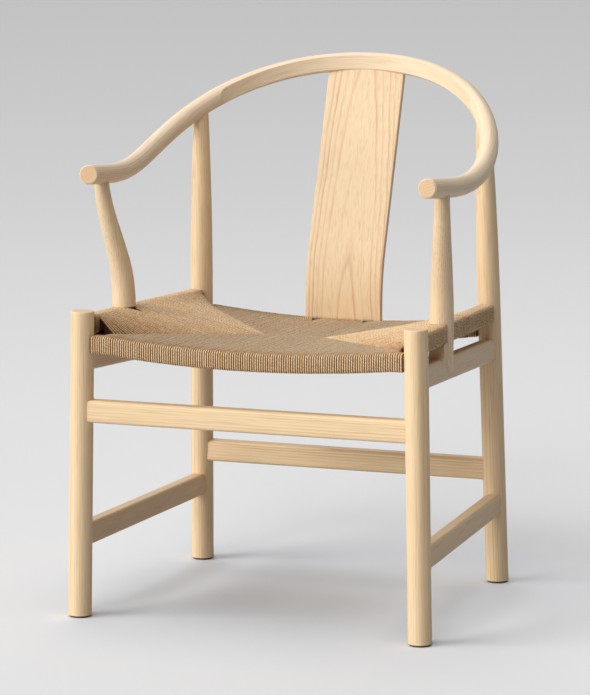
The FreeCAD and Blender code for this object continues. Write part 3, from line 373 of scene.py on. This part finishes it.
def build_bow():
    """The rod as rings of points along its middle line, with both ends closed."""
    line, ways = smooth_line(bow_stations(), bow_ring_step)
    lengths = np.concatenate([[0.0], np.cumsum(np.linalg.norm(np.diff(line, axis=0), axis=1))])
    back = len(line) // 2
    right_of_back = slice(back, back + back // 2)
    full_end = np.interp(bow_planed_reach, line[right_of_back, 0], lengths[right_of_back])
    around = bow_flat_points + bow_round_points
    last = len(line) - 1
    rings = [(0, shrink, inset) for shrink, inset in bow_tip_easing]
    rings += [(index, 0.0, 0.0) for index in range(1, last)]
    rings += [(last, shrink, -inset) for shrink, inset in reversed(bow_tip_easing)]
    points, grain, faces, kinds, sharp = [], [], [], [], []
    for row, (index, shrink, inset) in enumerate(rings):
        middle = line[index] + ways[index] * inset
        inward, upward = across_bow(ways[index], middle)
        planed = planed_depth(abs(lengths[index] - lengths[-1] / 2) - (full_end - lengths[-1] / 2))
        for spot, angle in enumerate(round_bow(planed)):
            radius = bow_radius - shrink
            if planed and spot <= bow_flat_points:
                radius = (bow_radius - planed) / math.cos(angle)
            inner, upper = radius * math.cos(angle), radius * math.sin(angle)
            points.append(middle + inner * inward + upper * upward)
            grain.append((inner / METRE, upper / METRE, lengths[index] / METRE))
            if row:
                a, b = row * around + spot, row * around + (spot + 1) % around
                faces.append((a - around, b - around, b, a))
                kinds.append(0)
            if row and planed > bow_sharp_depth and spot in (0, bow_flat_points):
                sharp.append((row * around + spot, (row - 1) * around + spot))
    faces.append(tuple(range(around)))
    faces.append(tuple(reversed(range(len(points) - around, len(points)))))
    kinds += [1, 1]
    # The bow's fibres follow the bend; the heart lies below it, so the planed face is flat sawn.
    wood = lacquered_ash("steamed_ash_bow", along=(0, 0, 1), heart=(-25, -70, 0), ring=2.2, wander=6.0,
                         pale="#F1DAB9", line="#DCB992", led=True)
    ends = lacquered_ash("sawn_ash_arm_ends", along=(0, 1, 0.02), heart=(300, 0, 560), ring=4.2, wander=2.0,
                         pale="#DEB88C", line="#A97B52")
    piece = make_piece("bow_rod", points, faces, [wood, ends], kinds,
                       [("FLOAT_VECTOR", "grain", grain)], sharp)
    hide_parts("bow")


build_bow()


# SPLAT
# A thin ash board, sawn flat so that it shows arched figure. It is steamed and bent, stands on
# two tenons in the back rail between the cords, and its top goes into the bow's underside.

splat_width = 123.0
splat_thickness = 9.5
splat_arris = 1.6
splat_arris_steps = 4
splat_column = 8.0
splat_rows = 90
splat_foot = (153.19, 396.6)
splat_corner_height = 465.4
splat_bend_radius = 250.0
splat_short_of_middle = 4
bow_back = (265.35, 785.65)
# The heart lies 7 mm behind the foot and leans away from the face, and so the wide rings make
# one arch near the foot and long lines above it.
splat_heart = (6.5, 7.3, 0)
splat_heart_way = (-0.017, 0.0758, 1)
splat_growth = [(11.5, 0.35), (19.2, 0.8), (29.5, 0.22), (42.7, 0.75), (50.0, 0.5), (57.5, 0.9), (63.5, 0.7)]


def splat_stations():
    """Reach, height, lean and length of way at each row, from the plumb foot over the bend and
    straight on to just short of the bow's middle."""
    lean = math.atan2(bow_back[0] - splat_foot[0], bow_back[1] - splat_corner_height)
    run = splat_bend_radius * math.tan(lean / 2)
    low = splat_corner_height - run - splat_foot[1]
    high = (math.hypot(bow_back[0] - splat_foot[0], bow_back[1] - splat_corner_height) - run
            - splat_short_of_middle)
    bend = splat_bend_radius * lean
    stations = []
    for along in np.linspace(0.0, low + bend + high, splat_rows):
        if along < low:
            stations.append((splat_foot[0], splat_foot[1] + along, 0.0, along))
            continue
        turned = min(along - low, bend) / splat_bend_radius
        y = splat_foot[0] + splat_bend_radius * (1 - math.cos(turned))
        z = splat_foot[1] + low + splat_bend_radius * math.sin(turned)
        extra = max(0.0, along - low - bend)
        stations.append((y + extra * math.sin(lean), z + extra * math.cos(lean), turned, along))
    return stations


def splat_section():
    """Points round the board's section, with rounded arrises and even columns on its faces."""
    half, deep, arris = splat_width / 2, splat_thickness / 2, splat_arris
    section = []
    for cx, cd, start in ((half, deep, 0), (-half, deep, 90), (-half, -deep, 180), (half, -deep, 270)):
        for step in range(splat_arris_steps + 1):
            angle = math.radians(start + 90 / splat_arris_steps * step)
            section.append((cx - math.copysign(arris, cx) + arris * math.cos(angle),
                            cd - math.copysign(arris, cd) + arris * math.sin(angle)))
    dense = []
    for (x0, d0), (x1, d1) in zip(section, section[1:] + section[:1]):
        steps = max(1, int(abs(x1 - x0) / splat_column))
        dense += [(x0 + (x1 - x0) * k / steps, d0 + (d1 - d0) * k / steps) for k in range(steps)]
    return dense


def build_splat():
    """The board as rows of its section, which carry their grain up round the bend."""
    section = splat_section()
    count = len(section)
    points, grain, faces = [], [], []
    for row, (y, z, turned, along) in enumerate(splat_stations()):
        for spot, (across, depth) in enumerate(section):
            points.append((across, y + depth * math.cos(turned), z - depth * math.sin(turned)))
            grain.append((across / METRE, depth / METRE, along / METRE))
            if row:
                a, b = row * count + spot, row * count + (spot + 1) % count
                faces.append((a - count, b - count, b, a))
    faces.append(tuple(reversed(range(count))))
    faces.append(tuple(range(len(points) - count, len(points))))
    wood = lacquered_ash("flat_sawn_ash_splat", along=splat_heart_way, heart=splat_heart, wander=9.0,
                         stretch=0.3, growth=splat_growth, pale="#E7CBA3", line="#BE8862", led=True)
    piece = make_piece("splat_board", points, faces, [wood],
                       attributes=[("FLOAT_VECTOR", "grain", grain)])
    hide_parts("splat")


build_splat()


# ARM POSTS
# S-curved ash posts, notched over the side rails with an outer tongue down to the aprons. They
# are sawn from a plank, spoke-shaved round and thinner toward the bow, where a tenon holds them.

for side, sign in SIDES.items():
    give_ash(f"arm_post_{side}", "shaved", along=(sign * 0.03, -0.1, 1), heart=(sign * 420, -130, 400),
             ring=2.6, wander=3.0, pale="#EFD5AF")


# CARD AND TACKS
# Card folded between the two layers of cord keeps the seat full. It is sawn-edge millboard, matt
# and slightly fibrous, coloured dark red-brown as painted shade where it shows in the seat's holes.
# Steel tacks hold the cord's ends inside the side rails.

card_fleck = 4.0
steel_scratch = 0.5


def millboard():
    """Pressed card, dull and mottled, coloured dark red-brown as painted shade: it shows only as depth
    between cords.
    """
    material, tree = blank_material("shade_dark_millboard")
    place = add(tree, "ShaderNodeTexCoord").outputs["Object"]
    flecks = add(tree, "ShaderNodeTexNoise", {"Vector": place, "Scale": METRE / card_fleck, "Detail": 3.0})
    # Painted shade: both colours are far darker than card, to stand for shade in the seat's holes.
    colour = add(tree, "ShaderNodeMix",
                 {0: flecks.outputs["Fac"], 6: linear("#4A3022"), 7: linear("#6A4936")}, data_type="RGBA")
    shader = add(tree, "ShaderNodeBsdfPrincipled", {"Base Color": colour.outputs[2], "Roughness": 0.9})
    add(tree, "ShaderNodeOutputMaterial", {"Surface": shader.outputs[0]})
    return material


def drawn_steel():
    """Drawn steel tacks: a dull grey metal with fine scratches."""
    material, tree = blank_material("drawn_steel_tack")
    place = add(tree, "ShaderNodeTexCoord").outputs["Object"]
    scratches = add(tree, "ShaderNodeTexNoise",
                    {"Vector": place, "Scale": METRE / steel_scratch, "Detail": 2.0})
    dull = add(tree, "ShaderNodeMapRange", {0: scratches.outputs["Fac"], 3: 0.3, 4: 0.5})
    shader = add(tree, "ShaderNodeBsdfPrincipled",
                 {"Base Color": linear("#A9AAAC"), "Metallic": 1.0, "Roughness": dull.outputs[0]})
    add(tree, "ShaderNodeOutputMaterial", {"Surface": shader.outputs[0]})
    return material


give("card_packing", millboard())
give("cord_tacks", drawn_steel())


# CORD SEAT
# Twisted paper cord, 3 mm thick, wound over and under all four rails from corner to corner.
# Each turn runs square to its rail, then dives at the mitre, so four fields meet in an envelope.

cord_radius = 1.5
cord_sides = 8
# The cords lie a pitch apart on the rails, and stray from that by a little.
cord_pitch = 3.5
cord_stray = 0.08
# Half the width and height of the way round a rail, to the cord's middle.
cross_wrap = (8.25 + cord_radius, 11.0 + cord_radius)
side_wrap = (9.75 + cord_radius, 11.5 + cord_radius)
rail_rounding = 3.0 + cord_radius
rounding_points = 20
# The mitres run from each corner, the seam, to the apexes, where the four fields meet.
apex_spread = 46.5
apex_reach = -64.0
apex_top = 403.5 - cord_radius
apex_under = 389.5 + cord_radius
mitre_sunk = 0.8
# Past the mitre a cord slips in and down between the layers, by these steps.
dive_steps = [(1.2, 1.1), (3.0, 3.2), (5.5, 4.4)]
# Cords are turned aside over this run behind their rail, and painted paler over the same, as painted light.
settling_run = 11.0
# The front and back rails' tops dip by sag, up to bend from the middle. Their cords reach half
# from the middle, and only those inside full go on to the mitre.
front_rail = {"reach": -262.4, "height": 406.4, "sag": 11.8, "bend": 217.9, "seam": (232.5, -241.8),
              "half": 236.8, "full": 224.5}
back_rail = {"reach": 153.2, "height": 396.6, "sag": 13.0, "bend": 218.5, "seam": (211.0, 132.6),
             "half": 215.2, "full": 202.5}
# The side rails run from front to back, and draw in and drop on the way. Their cords lie between
# side_cords, those inside side_full go on to the mitre, and none is pushed aside at the ends.
side_rail_front = (255.9, -262.4, 433.6)
side_rail_length = 414.2
side_rail_drawn_in = 21.5
side_rail_drop = 12.8
side_cords = (-243.0, 134.0)
side_full = (-230.5, 121.0)
side_fade = 40.0
# Wood that stands among the cords: its middle, half the gap it needs, and how far that is felt.
splat_tenons = [(-42, 7.6, 45.0), (42, 7.6, 45.0)]
post_foot = [(-125.0, 13.6, 60.0)]
# How much paler the cords are painted in from each rail: painted light, most where the cords run front to
# back.
painted_light_front, painted_light_back, painted_light_side = 1.0, 0.8, 0.1
plies = 3.0
ply_lay = 4.4
paper_fibre = 1.1
paper_fleck = 2.4
paper_patch = 7.0
chance = random.Random(7)


def twisted_paper_cord():
    """Unbleached kraft paper cord, three plies twisted hard: tan, matt and a little hairy, with
    slanting plies that break up the light, and painted shade in the grooves between them. Its
    sides are painted dark brown as shade between the cords and its crests pale, so that each cord
    stands out, and the tone that each point carries adds painted light that makes the fields
    paler. To show at all, the plies' real lay of 3.4 mm is drawn as 4.4 mm, and the fine flecks
    of bark in the paper as 2.4 mm long."""
    material, tree = blank_material("twisted_kraft_paper_cord")
    lay = add(tree, "ShaderNodeAttribute", attribute_name="lay").outputs["Vector"]
    tone_and_painted_light = add(tree, "ShaderNodeAttribute", attribute_name="tone_and_painted_light").outputs["Fac"]
    # The lay attribute holds across, outward and along; the plies wind round the cord with it.
    parts = add(tree, "ShaderNodeSeparateXYZ", {0: lay})
    angle = add(tree, "ShaderNodeMath", {0: parts.outputs[1], 1: parts.outputs[0]}, operation="ARCTAN2")
    turned = add(tree, "ShaderNodeMath", {0: angle.outputs[0], 1: plies}, operation="MULTIPLY")
    phase = add(tree, "ShaderNodeMath",
                {0: parts.outputs[2], 1: 2 * math.pi / ply_lay * METRE, 2: turned.outputs[0]},
                operation="MULTIPLY_ADD")
    ply = add(tree, "ShaderNodeMath", {0: phase.outputs[0]}, operation="SINE")
    ply_height = add(tree, "ShaderNodeMapRange", {0: ply.outputs[0], 1: -1.0, 2: 0.6})
    place = add(tree, "ShaderNodeTexCoord").outputs["Object"]
    fibre = add(tree, "ShaderNodeTexNoise", {"Vector": place, "Scale": METRE / paper_fibre, "Detail": 3.0})
    patch = add(tree, "ShaderNodeTexNoise", {"Vector": place, "Scale": METRE / paper_patch, "Detail": 2.0})
    mixed = add(tree, "ShaderNodeMath", {0: tone_and_painted_light, 1: 0.6, 2: patch.outputs["Fac"]}, operation="MULTIPLY_ADD")
    share = add(tree, "ShaderNodeMapRange", {0: mixed.outputs[0], 1: 0.35, 2: 1.15})
    # The crest's colours, and the flank's darker ones, which are painted shade between the cords.
    crest = add(tree, "ShaderNodeMix", {0: share.outputs[0], 6: linear("#F0C48E"), 7: linear("#FFF0D2")},
                data_type="RGBA")
    shaded_flank_colour = add(tree, "ShaderNodeMix", {0: share.outputs[0], 6: linear("#7C4214"), 7: linear("#BC8A58")},
                data_type="RGBA")
    # Painted shade: the cord's sides away from the outside take the dark flank colour, its crest the pale
    # one.
    painted_shade_on_flanks = add(tree, "ShaderNodeMapRange", {0: parts.outputs[1], 1: 0.4, 2: 0.95},
                 interpolation_type="SMOOTHSTEP")
    paper = add(tree, "ShaderNodeMix", {0: painted_shade_on_flanks.outputs[0], 6: shaded_flank_colour.outputs[2], 7: crest.outputs[2]},
                data_type="RGBA")
    # Painted shade: the grooves between the plies are darkened toward brown.
    painted_groove_shade = add(tree, "ShaderNodeMapRange", {0: ply_height.outputs[0], 3: 0.5, 4: 0.0})
    grooved = add(tree, "ShaderNodeMix", {0: painted_groove_shade.outputs[0], 6: paper.outputs[2], 7: linear("#80512A")},
                  data_type="RGBA")
    bark = add(tree, "ShaderNodeTexNoise", {"Vector": place, "Scale": METRE / paper_fleck, "Detail": 1.0})
    flecks = add(tree, "ShaderNodeMapRange", {0: bark.outputs["Fac"], 1: 0.5, 2: 0.64, 3: 0.0, 4: 0.42})
    flecked = add(tree, "ShaderNodeMix", {0: flecks.outputs[0], 6: grooved.outputs[2], 7: linear("#7C4C24")},
                  data_type="RGBA")
    hairy = add(tree, "ShaderNodeMapRange", {0: fibre.outputs["Fac"], 1: 0.35, 2: 0.75, 3: 0.0, 4: 0.35})
    haired = add(tree, "ShaderNodeMix", {0: hairy.outputs[0], 6: flecked.outputs[2], 7: linear("#EACA98")},
                 data_type="RGBA")
    height = add(tree, "ShaderNodeMath", {0: fibre.outputs["Fac"], 1: 0.5, 2: ply_height.outputs[0]},
                 operation="MULTIPLY_ADD")
    bump = add(tree, "ShaderNodeBump", {"Height": height.outputs[0], "Strength": 0.6, "Distance": 0.0003})
    shader = add(tree, "ShaderNodeBsdfPrincipled",
                 {"Base Color": haired.outputs[2], "Roughness": 0.9, "Normal": bump.outputs[0],
                  "Specular IOR Level": 0.2})
    add(tree, "ShaderNodeOutputMaterial", {"Surface": shader.outputs[0]})
    return material


def taut_turn(centre, wrap, ends):
    """The taut way of one turn in its own plane, as points (inward, height): from the top mitre
    over the rail, down its outside and under it to the lower mitre, or, with no ends, all round
    the rail."""
    half_width, half_height = wrap
    spots = list(ends)
    for across in (-1, 1):
        for up in (-1, 1):
            cx, cz = across * (half_width - rail_rounding), centre + up * (half_height - rail_rounding)
            for k in range(rounding_points):
                angle = 2 * math.pi * (k + 0.5) / rounding_points
                spots.append((cx + rail_rounding * math.cos(angle), cz + rail_rounding * math.sin(angle)))
    spots = sorted(set(spots))
    # A taut cord follows the convex outline of the rail's rounded corners and its own ends.
    outline = []
    for order in (spots, spots[::-1]):
        chain = []
        for spot in order:
            while len(chain) > 1 and ((chain[-1][0] - chain[-2][0]) * (spot[1] - chain[-2][1])
                                      - (chain[-1][1] - chain[-2][1]) * (spot[0] - chain[-2][0])) <= 0:
                chain.pop()
            chain.append(spot)
        outline += chain[:-1]
    start = outline.index(ends[0]) if ends else max(range(len(outline)), key=lambda i: outline[i][0])
    loop = outline[start:] + outline[:start]
    return loop[:loop.index(ends[1]) + 1] if ends else loop + loop[:2]


def spaced(points, longest=14.0):
    """The same way with long straight runs divided."""
    out = [points[0]]
    for before, after in zip(points, points[1:]):
        steps = max(1, math.ceil(math.dist(before, after) / longest))
        for k in range(1, steps + 1):
            out.append(tuple(a + (b - a) * k / steps for a, b in zip(before, after)))
    return out


def push_aside(spot, blocks):
    """Where a turn lies on its rail when blocks of wood stand among the cords."""
    for middle, half_gap, spread in blocks:
        gap = spot - middle
        spot += math.copysign(half_gap * math.exp(-abs(gap) / spread), gap)
    return spot


def mitre(rail, share):
    """Spread, reach, top and under of a mitre at a share of its way from the rail to the apex."""
    spread, reach = rail["seam"]
    top = rail["height"] + cross_wrap[1] - mitre_sunk
    under = rail["height"] - cross_wrap[1] + mitre_sunk
    ends = ((spread, apex_spread), (reach, apex_reach), (top, apex_top), (under, apex_under))
    return [a + (b - a) * share for a, b in ends]


def turn_to_mitre(centre, wrap, inward, top, under):
    """A turn that runs to the mitre in both layers, with the ends that slip between them."""
    before = [(inward + past, top - deep) for past, deep in reversed(dive_steps)]
    after = [(inward + past, under + deep) for past, deep in dive_steps]
    return spaced(before + taut_turn(centre, wrap, [(inward, top), (inward, under)]) + after)


def cross_turns(rail, blocks):
    """All turns on the front or back rail, as (line, spot on the rail, spot at the mitre)."""
    turns = []
    count = round(rail["half"] / cord_pitch)
    for index in range(-count, count + 1):
        spot = index * rail["half"] / count
        x = push_aside(spot, blocks) + chance.uniform(-cord_stray, cord_stray)
        centre = rail["height"] - rail["sag"] * max(0.0, 1 - (x / rail["bend"]) ** 2)
        if abs(spot) > rail["full"]:
            turns.append((taut_turn(centre, cross_wrap, []), x, x))
            continue
        share = min(1.0, (rail["seam"][0] - abs(spot)) / (rail["seam"][0] - apex_spread))
        _, reach, top, under = mitre(rail, share)
        turns.append((turn_to_mitre(centre, cross_wrap, abs(reach - rail["reach"]), top, under), x, spot))
    return turns


def side_rail_at(reach):
    """Spread and height of a side rail's middle line."""
    share = (reach - side_rail_front[1]) / side_rail_length
    return side_rail_front[0] - side_rail_drawn_in * share, side_rail_front[2] - side_rail_drop * share


def side_turns(blocks):
    """All turns on one side rail; the first and last few go round the rail alone."""
    turns = []
    first, last = side_cords
    for index in range(int((last - first) / cord_pitch) + 1):
        spot = first + index * cord_pitch
        fade = min(1.0, (spot - first) / side_fade, (last - spot) / side_fade)
        aside = (push_aside(spot, blocks) - spot) * max(0.0, fade)
        y = spot + aside + chance.uniform(-cord_stray, cord_stray)
        spread, centre = side_rail_at(y)
        if not side_full[0] <= spot <= side_full[1]:
            turns.append((taut_turn(centre, side_wrap, []), y, y))
            continue
        rail = front_rail if spot < apex_reach else back_rail
        share = (spot - rail["seam"][1]) / (apex_reach - rail["seam"][1])
        x, _, top, under = mitre(rail, share)
        turns.append((turn_to_mitre(centre, side_wrap, spread - x, top, under), y, spot))
    return turns


def build_cords(name, turns, wrap, place, painted_light):
    """One piece of many cords, each a tube of its own. turns are (line of points (inward,
    height), spot on the rail, spot at the mitre), place turns inward, height and spot into a
    point of the chair, and the last argument says how much paler the cords are painted in from
    the rail, as painted light."""
    points, faces, lay, tone_and_painted_light = [], [], [], []
    ring = [(math.cos(2 * math.pi * k / cord_sides), math.sin(2 * math.pi * k / cord_sides))
            for k in range(cord_sides)]
    for way, rail_spot, mitre_spot in turns:
        shade = chance.uniform(0.0, 0.5)
        thick = cord_radius * chance.uniform(0.95, 1.02)
        lift = chance.uniform(-0.18, 0.12)
        start = chance.uniform(0, 10)
        swing = [(chance.uniform(0.1, 0.28), chance.uniform(8, 24), chance.uniform(0, 6))
                 for _ in range(2)]
        spots, tones_and_painted_light = [], []
        for inward, height in way:
            share = 1 - math.exp(-max(0.0, inward - wrap[0]) / settling_run)
            # Each cord's own tone by chance, plus painted light that grows away from the rail.
            tones_and_painted_light.append(shade + painted_light * share)
            aside = share * sum(size * math.sin(inward / length + turn) for size, length, turn in swing)
            beside_rail = rail_spot + (mitre_spot - rail_spot) * share + aside
            spots.append(place(inward, height + lift, beside_rail))
        spots = np.array(spots)
        steps = np.gradient(spots, axis=0)
        steps /= np.linalg.norm(steps, axis=1)[:, None]
        # The way along the rail, turned so that the cord's outer side faces out of the seat.
        across = np.array(place(0, 0, rail_spot + 1)) - np.array(place(0, 0, rail_spot))
        across /= np.linalg.norm(across)
        if np.sum(np.cross(steps, across) * (spots - spots.mean(axis=0))) < 0:
            across = -across
        run = start + np.concatenate([[0.0], np.cumsum(np.linalg.norm(np.diff(spots, axis=0), axis=1))])
        for spot, step, along, tone_and_light_here in zip(spots, steps, run, tones_and_painted_light):
            outward = np.cross(step, across)
            outward /= np.linalg.norm(outward)
            beside = np.cross(outward, step)
            base = len(points)
            for c, s in ring:
                points.append(spot + thick * (c * beside + s * outward))
                lay.append((c, s, along / METRE))
                tone_and_painted_light.append(tone_and_light_here)
            if along > start:
                for k in range(cord_sides):
                    n = (k + 1) % cord_sides
                    faces.append((base - cord_sides + k, base - cord_sides + n, base + n, base + k))
    piece = make_piece(name, points, faces, [paper_cord],
                       attributes=[("FLOAT_VECTOR", "lay", lay), ("FLOAT", "tone_and_painted_light", tone_and_painted_light)])
    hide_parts("seat_weave")


paper_cord = twisted_paper_cord()
build_cords("cord_front", cross_turns(front_rail, []), cross_wrap,
            lambda u, z, x: (x, front_rail["reach"] + u, z), painted_light_front)
build_cords("cord_back", cross_turns(back_rail, splat_tenons), cross_wrap,
            lambda u, z, x: (x, back_rail["reach"] - u, z), painted_light_back)
for side, sign in SIDES.items():
    build_cords(f"cord_{side}", side_turns(post_foot), side_wrap,
                lambda u, z, y, sign=sign: (sign * (side_rail_at(y)[0] - u), y, z), painted_light_side)


# GLIDES
# Round pads pinned into the feet, moulded from dark brown nylon. They show as a thin dark line
# under each leg and keep the wood off the floor.

nylon_grain = 0.8


def moulded_nylon():
    """Dark brown nylon with the faint grain of its mould: dull with a soft edge light."""
    material, tree = blank_material("moulded_nylon_glide")
    place = add(tree, "ShaderNodeTexCoord").outputs["Object"]
    grain = add(tree, "ShaderNodeTexNoise", {"Vector": place, "Scale": METRE / nylon_grain, "Detail": 2.0})
    dull = add(tree, "ShaderNodeMapRange", {0: grain.outputs["Fac"], 3: 0.45, 4: 0.65})
    bump = add(tree, "ShaderNodeBump", {"Height": grain.outputs["Fac"], "Strength": 0.2, "Distance": 0.0001})
    shader = add(tree, "ShaderNodeBsdfPrincipled",
                 {"Base Color": linear("#3A2A22"), "Roughness": dull.outputs[0], "Normal": bump.outputs[0],
                  "IOR": 1.53})
    add(tree, "ShaderNodeOutputMaterial", {"Surface": shader.outputs[0]})
    return material


nylon = moulded_nylon()
for end in ("front", "back"):
    for side in SIDES:
        give(f"glide_{end}_{side}", nylon)


# STUDIO
# A pale floor that runs to the horizon and darkens with distance, soft light from the left, the
# front and above, and a long lens a little above the seat. None of it is part of the chair.

floor_reach = 60.0
# The floor's colours at shares of its shaded run of 15 m from the chair: cool near the chair as painted
# light, and greyer further out as painted shade.
floor_shaded_run = 15.0
floor_colours = [(0.0, "#EBEEF2"), (0.02, "#EBEEF2"), (0.035, "#ECECEC"), (0.12, "#E9E9E9"),
                 (0.21, "#E2E2E2"), (0.35, "#D8D8D8"), (0.57, "#D0D0D0"), (1.0, "#C8C8C8")]
camera_place = (1.8681, -5.1025, 1.2316)
camera_turn = math.radians(20.338)
camera_dip = math.radians(8.946)
# The photograph's height and the camera's focal length, both in pixels.
picture_height = 695
camera_focal = 3666.2
camera_sensor = 36.0


def rays_that_show(tree):
    """1 on rays by which a surface is seen, straight on, in gloss or through glass."""
    path = add(tree, "ShaderNodeLightPath")
    mirrored = add(tree, "ShaderNodeMath",
                   {0: path.outputs["Is Camera Ray"], 1: path.outputs["Is Glossy Ray"]}, operation="MAXIMUM")
    shown = add(tree, "ShaderNodeMath", {0: mirrored.outputs[0], 1: path.outputs["Is Transmission Ray"]},
                operation="MAXIMUM")
    return shown.outputs[0]


def painted_floor():
    """Matt pale grey paint: even near the chair and greyer far away, which is painted shade, and a
    little cool under it as painted light, to cancel the warm light that the wood throws there. It
    throws less light back at the chair than it shows, as a floor of limited size would."""
    material, tree = blank_material("matt_painted_floor")
    place = add(tree, "ShaderNodeTexCoord").outputs["Object"]
    far = add(tree, "ShaderNodeVectorMath", {0: place}, operation="LENGTH")
    share = add(tree, "ShaderNodeMapRange", {0: far.outputs["Value"], 1: 0.0, 2: floor_shaded_run})
    ramp = add(tree, "ShaderNodeValToRGB", {0: share.outputs[0]},
               [(position, linear(colour)) for position, colour in floor_colours])
    colour = add(tree, "ShaderNodeMix", {0: rays_that_show(tree), 6: linear("#B0B0B2"), 7: ramp.outputs[0]},
                 data_type="RGBA")
    shader = add(tree, "ShaderNodeBsdfPrincipled",
                 {"Base Color": colour.outputs[2], "Roughness": 0.95, "Specular IOR Level": 0.0})
    add(tree, "ShaderNodeOutputMaterial", {"Surface": shader.outputs[0]})
    return material


def soft_sun(name, strength, angle, toward, colour):
    """A wide, distant lamp that shines along a direction."""
    lamp = bpy.data.lights.new(name, "SUN")
    lamp.color = linear(colour)[:3]
    lamp.energy = strength
    lamp.angle = math.radians(angle)
    holder = bpy.data.objects.new(name, lamp)
    holder.rotation_mode = "QUATERNION"
    holder.rotation_quaternion = Vector(toward).to_track_quat("-Z", "Y")
    bpy.context.scene.collection.objects.link(holder)


floor_mesh = bpy.data.meshes.new("studio_floor")
corners = [(x * floor_reach, y * floor_reach, 0) for x, y in ((-1, -1), (1, -1), (1, 1), (-1, 1))]
floor_mesh.from_pydata(corners, [], [(0, 1, 2, 3)])
floor = bpy.data.objects.new("studio_floor", floor_mesh)
floor_mesh.materials.append(painted_floor())
bpy.context.scene.collection.objects.link(floor)

soft_sun("key_window", strength=2.7, angle=42, toward=(0.735, 0.617, -0.309), colour="#FFFDF9")
soft_sun("front_window", strength=0.95, angle=30, toward=(0.03, 0.86, -0.51), colour="#FFFFFF")
soft_sun("top_window", strength=1.18, angle=60, toward=(0.0, 0.0, -1.0), colour="#FDFDFF")
soft_sun("back_window", strength=0.45, angle=50, toward=(0.383, -0.663, -0.643), colour="#FFFFFF")

world = bpy.data.worlds.new("studio_air")
bpy.context.scene.world = world
world.use_nodes = True
sky = world.node_tree
sky.nodes.clear()
fill = add(sky, "ShaderNodeBackground", {"Color": linear("#E0EAFF"), "Strength": 0.06})
seen = add(sky, "ShaderNodeBackground", {"Color": linear("#C1C1C1"), "Strength": 1.0})
joined = add(sky, "ShaderNodeMixShader", {0: rays_that_show(sky), 1: fill.outputs[0], 2: seen.outputs[0]})
add(sky, "ShaderNodeOutputWorld", {"Surface": joined.outputs[0]})

camera_data = bpy.data.cameras.new("studio_camera")
camera_data.sensor_width = camera_sensor
camera_data.lens = camera_focal / picture_height * camera_sensor
camera_data.clip_end = 200.0
camera = bpy.data.objects.new("studio_camera", camera_data)
camera.location = camera_place
camera.rotation_mode = "QUATERNION"
camera.rotation_quaternion = Vector((-math.sin(camera_turn) * math.cos(camera_dip),
                                     math.cos(camera_turn) * math.cos(camera_dip),
                                     -math.sin(camera_dip))).to_track_quat("-Z", "Y")
bpy.context.scene.collection.objects.link(camera)
bpy.context.scene.camera = camera
bpy.context.scene.view_settings.view_transform = "Standard"
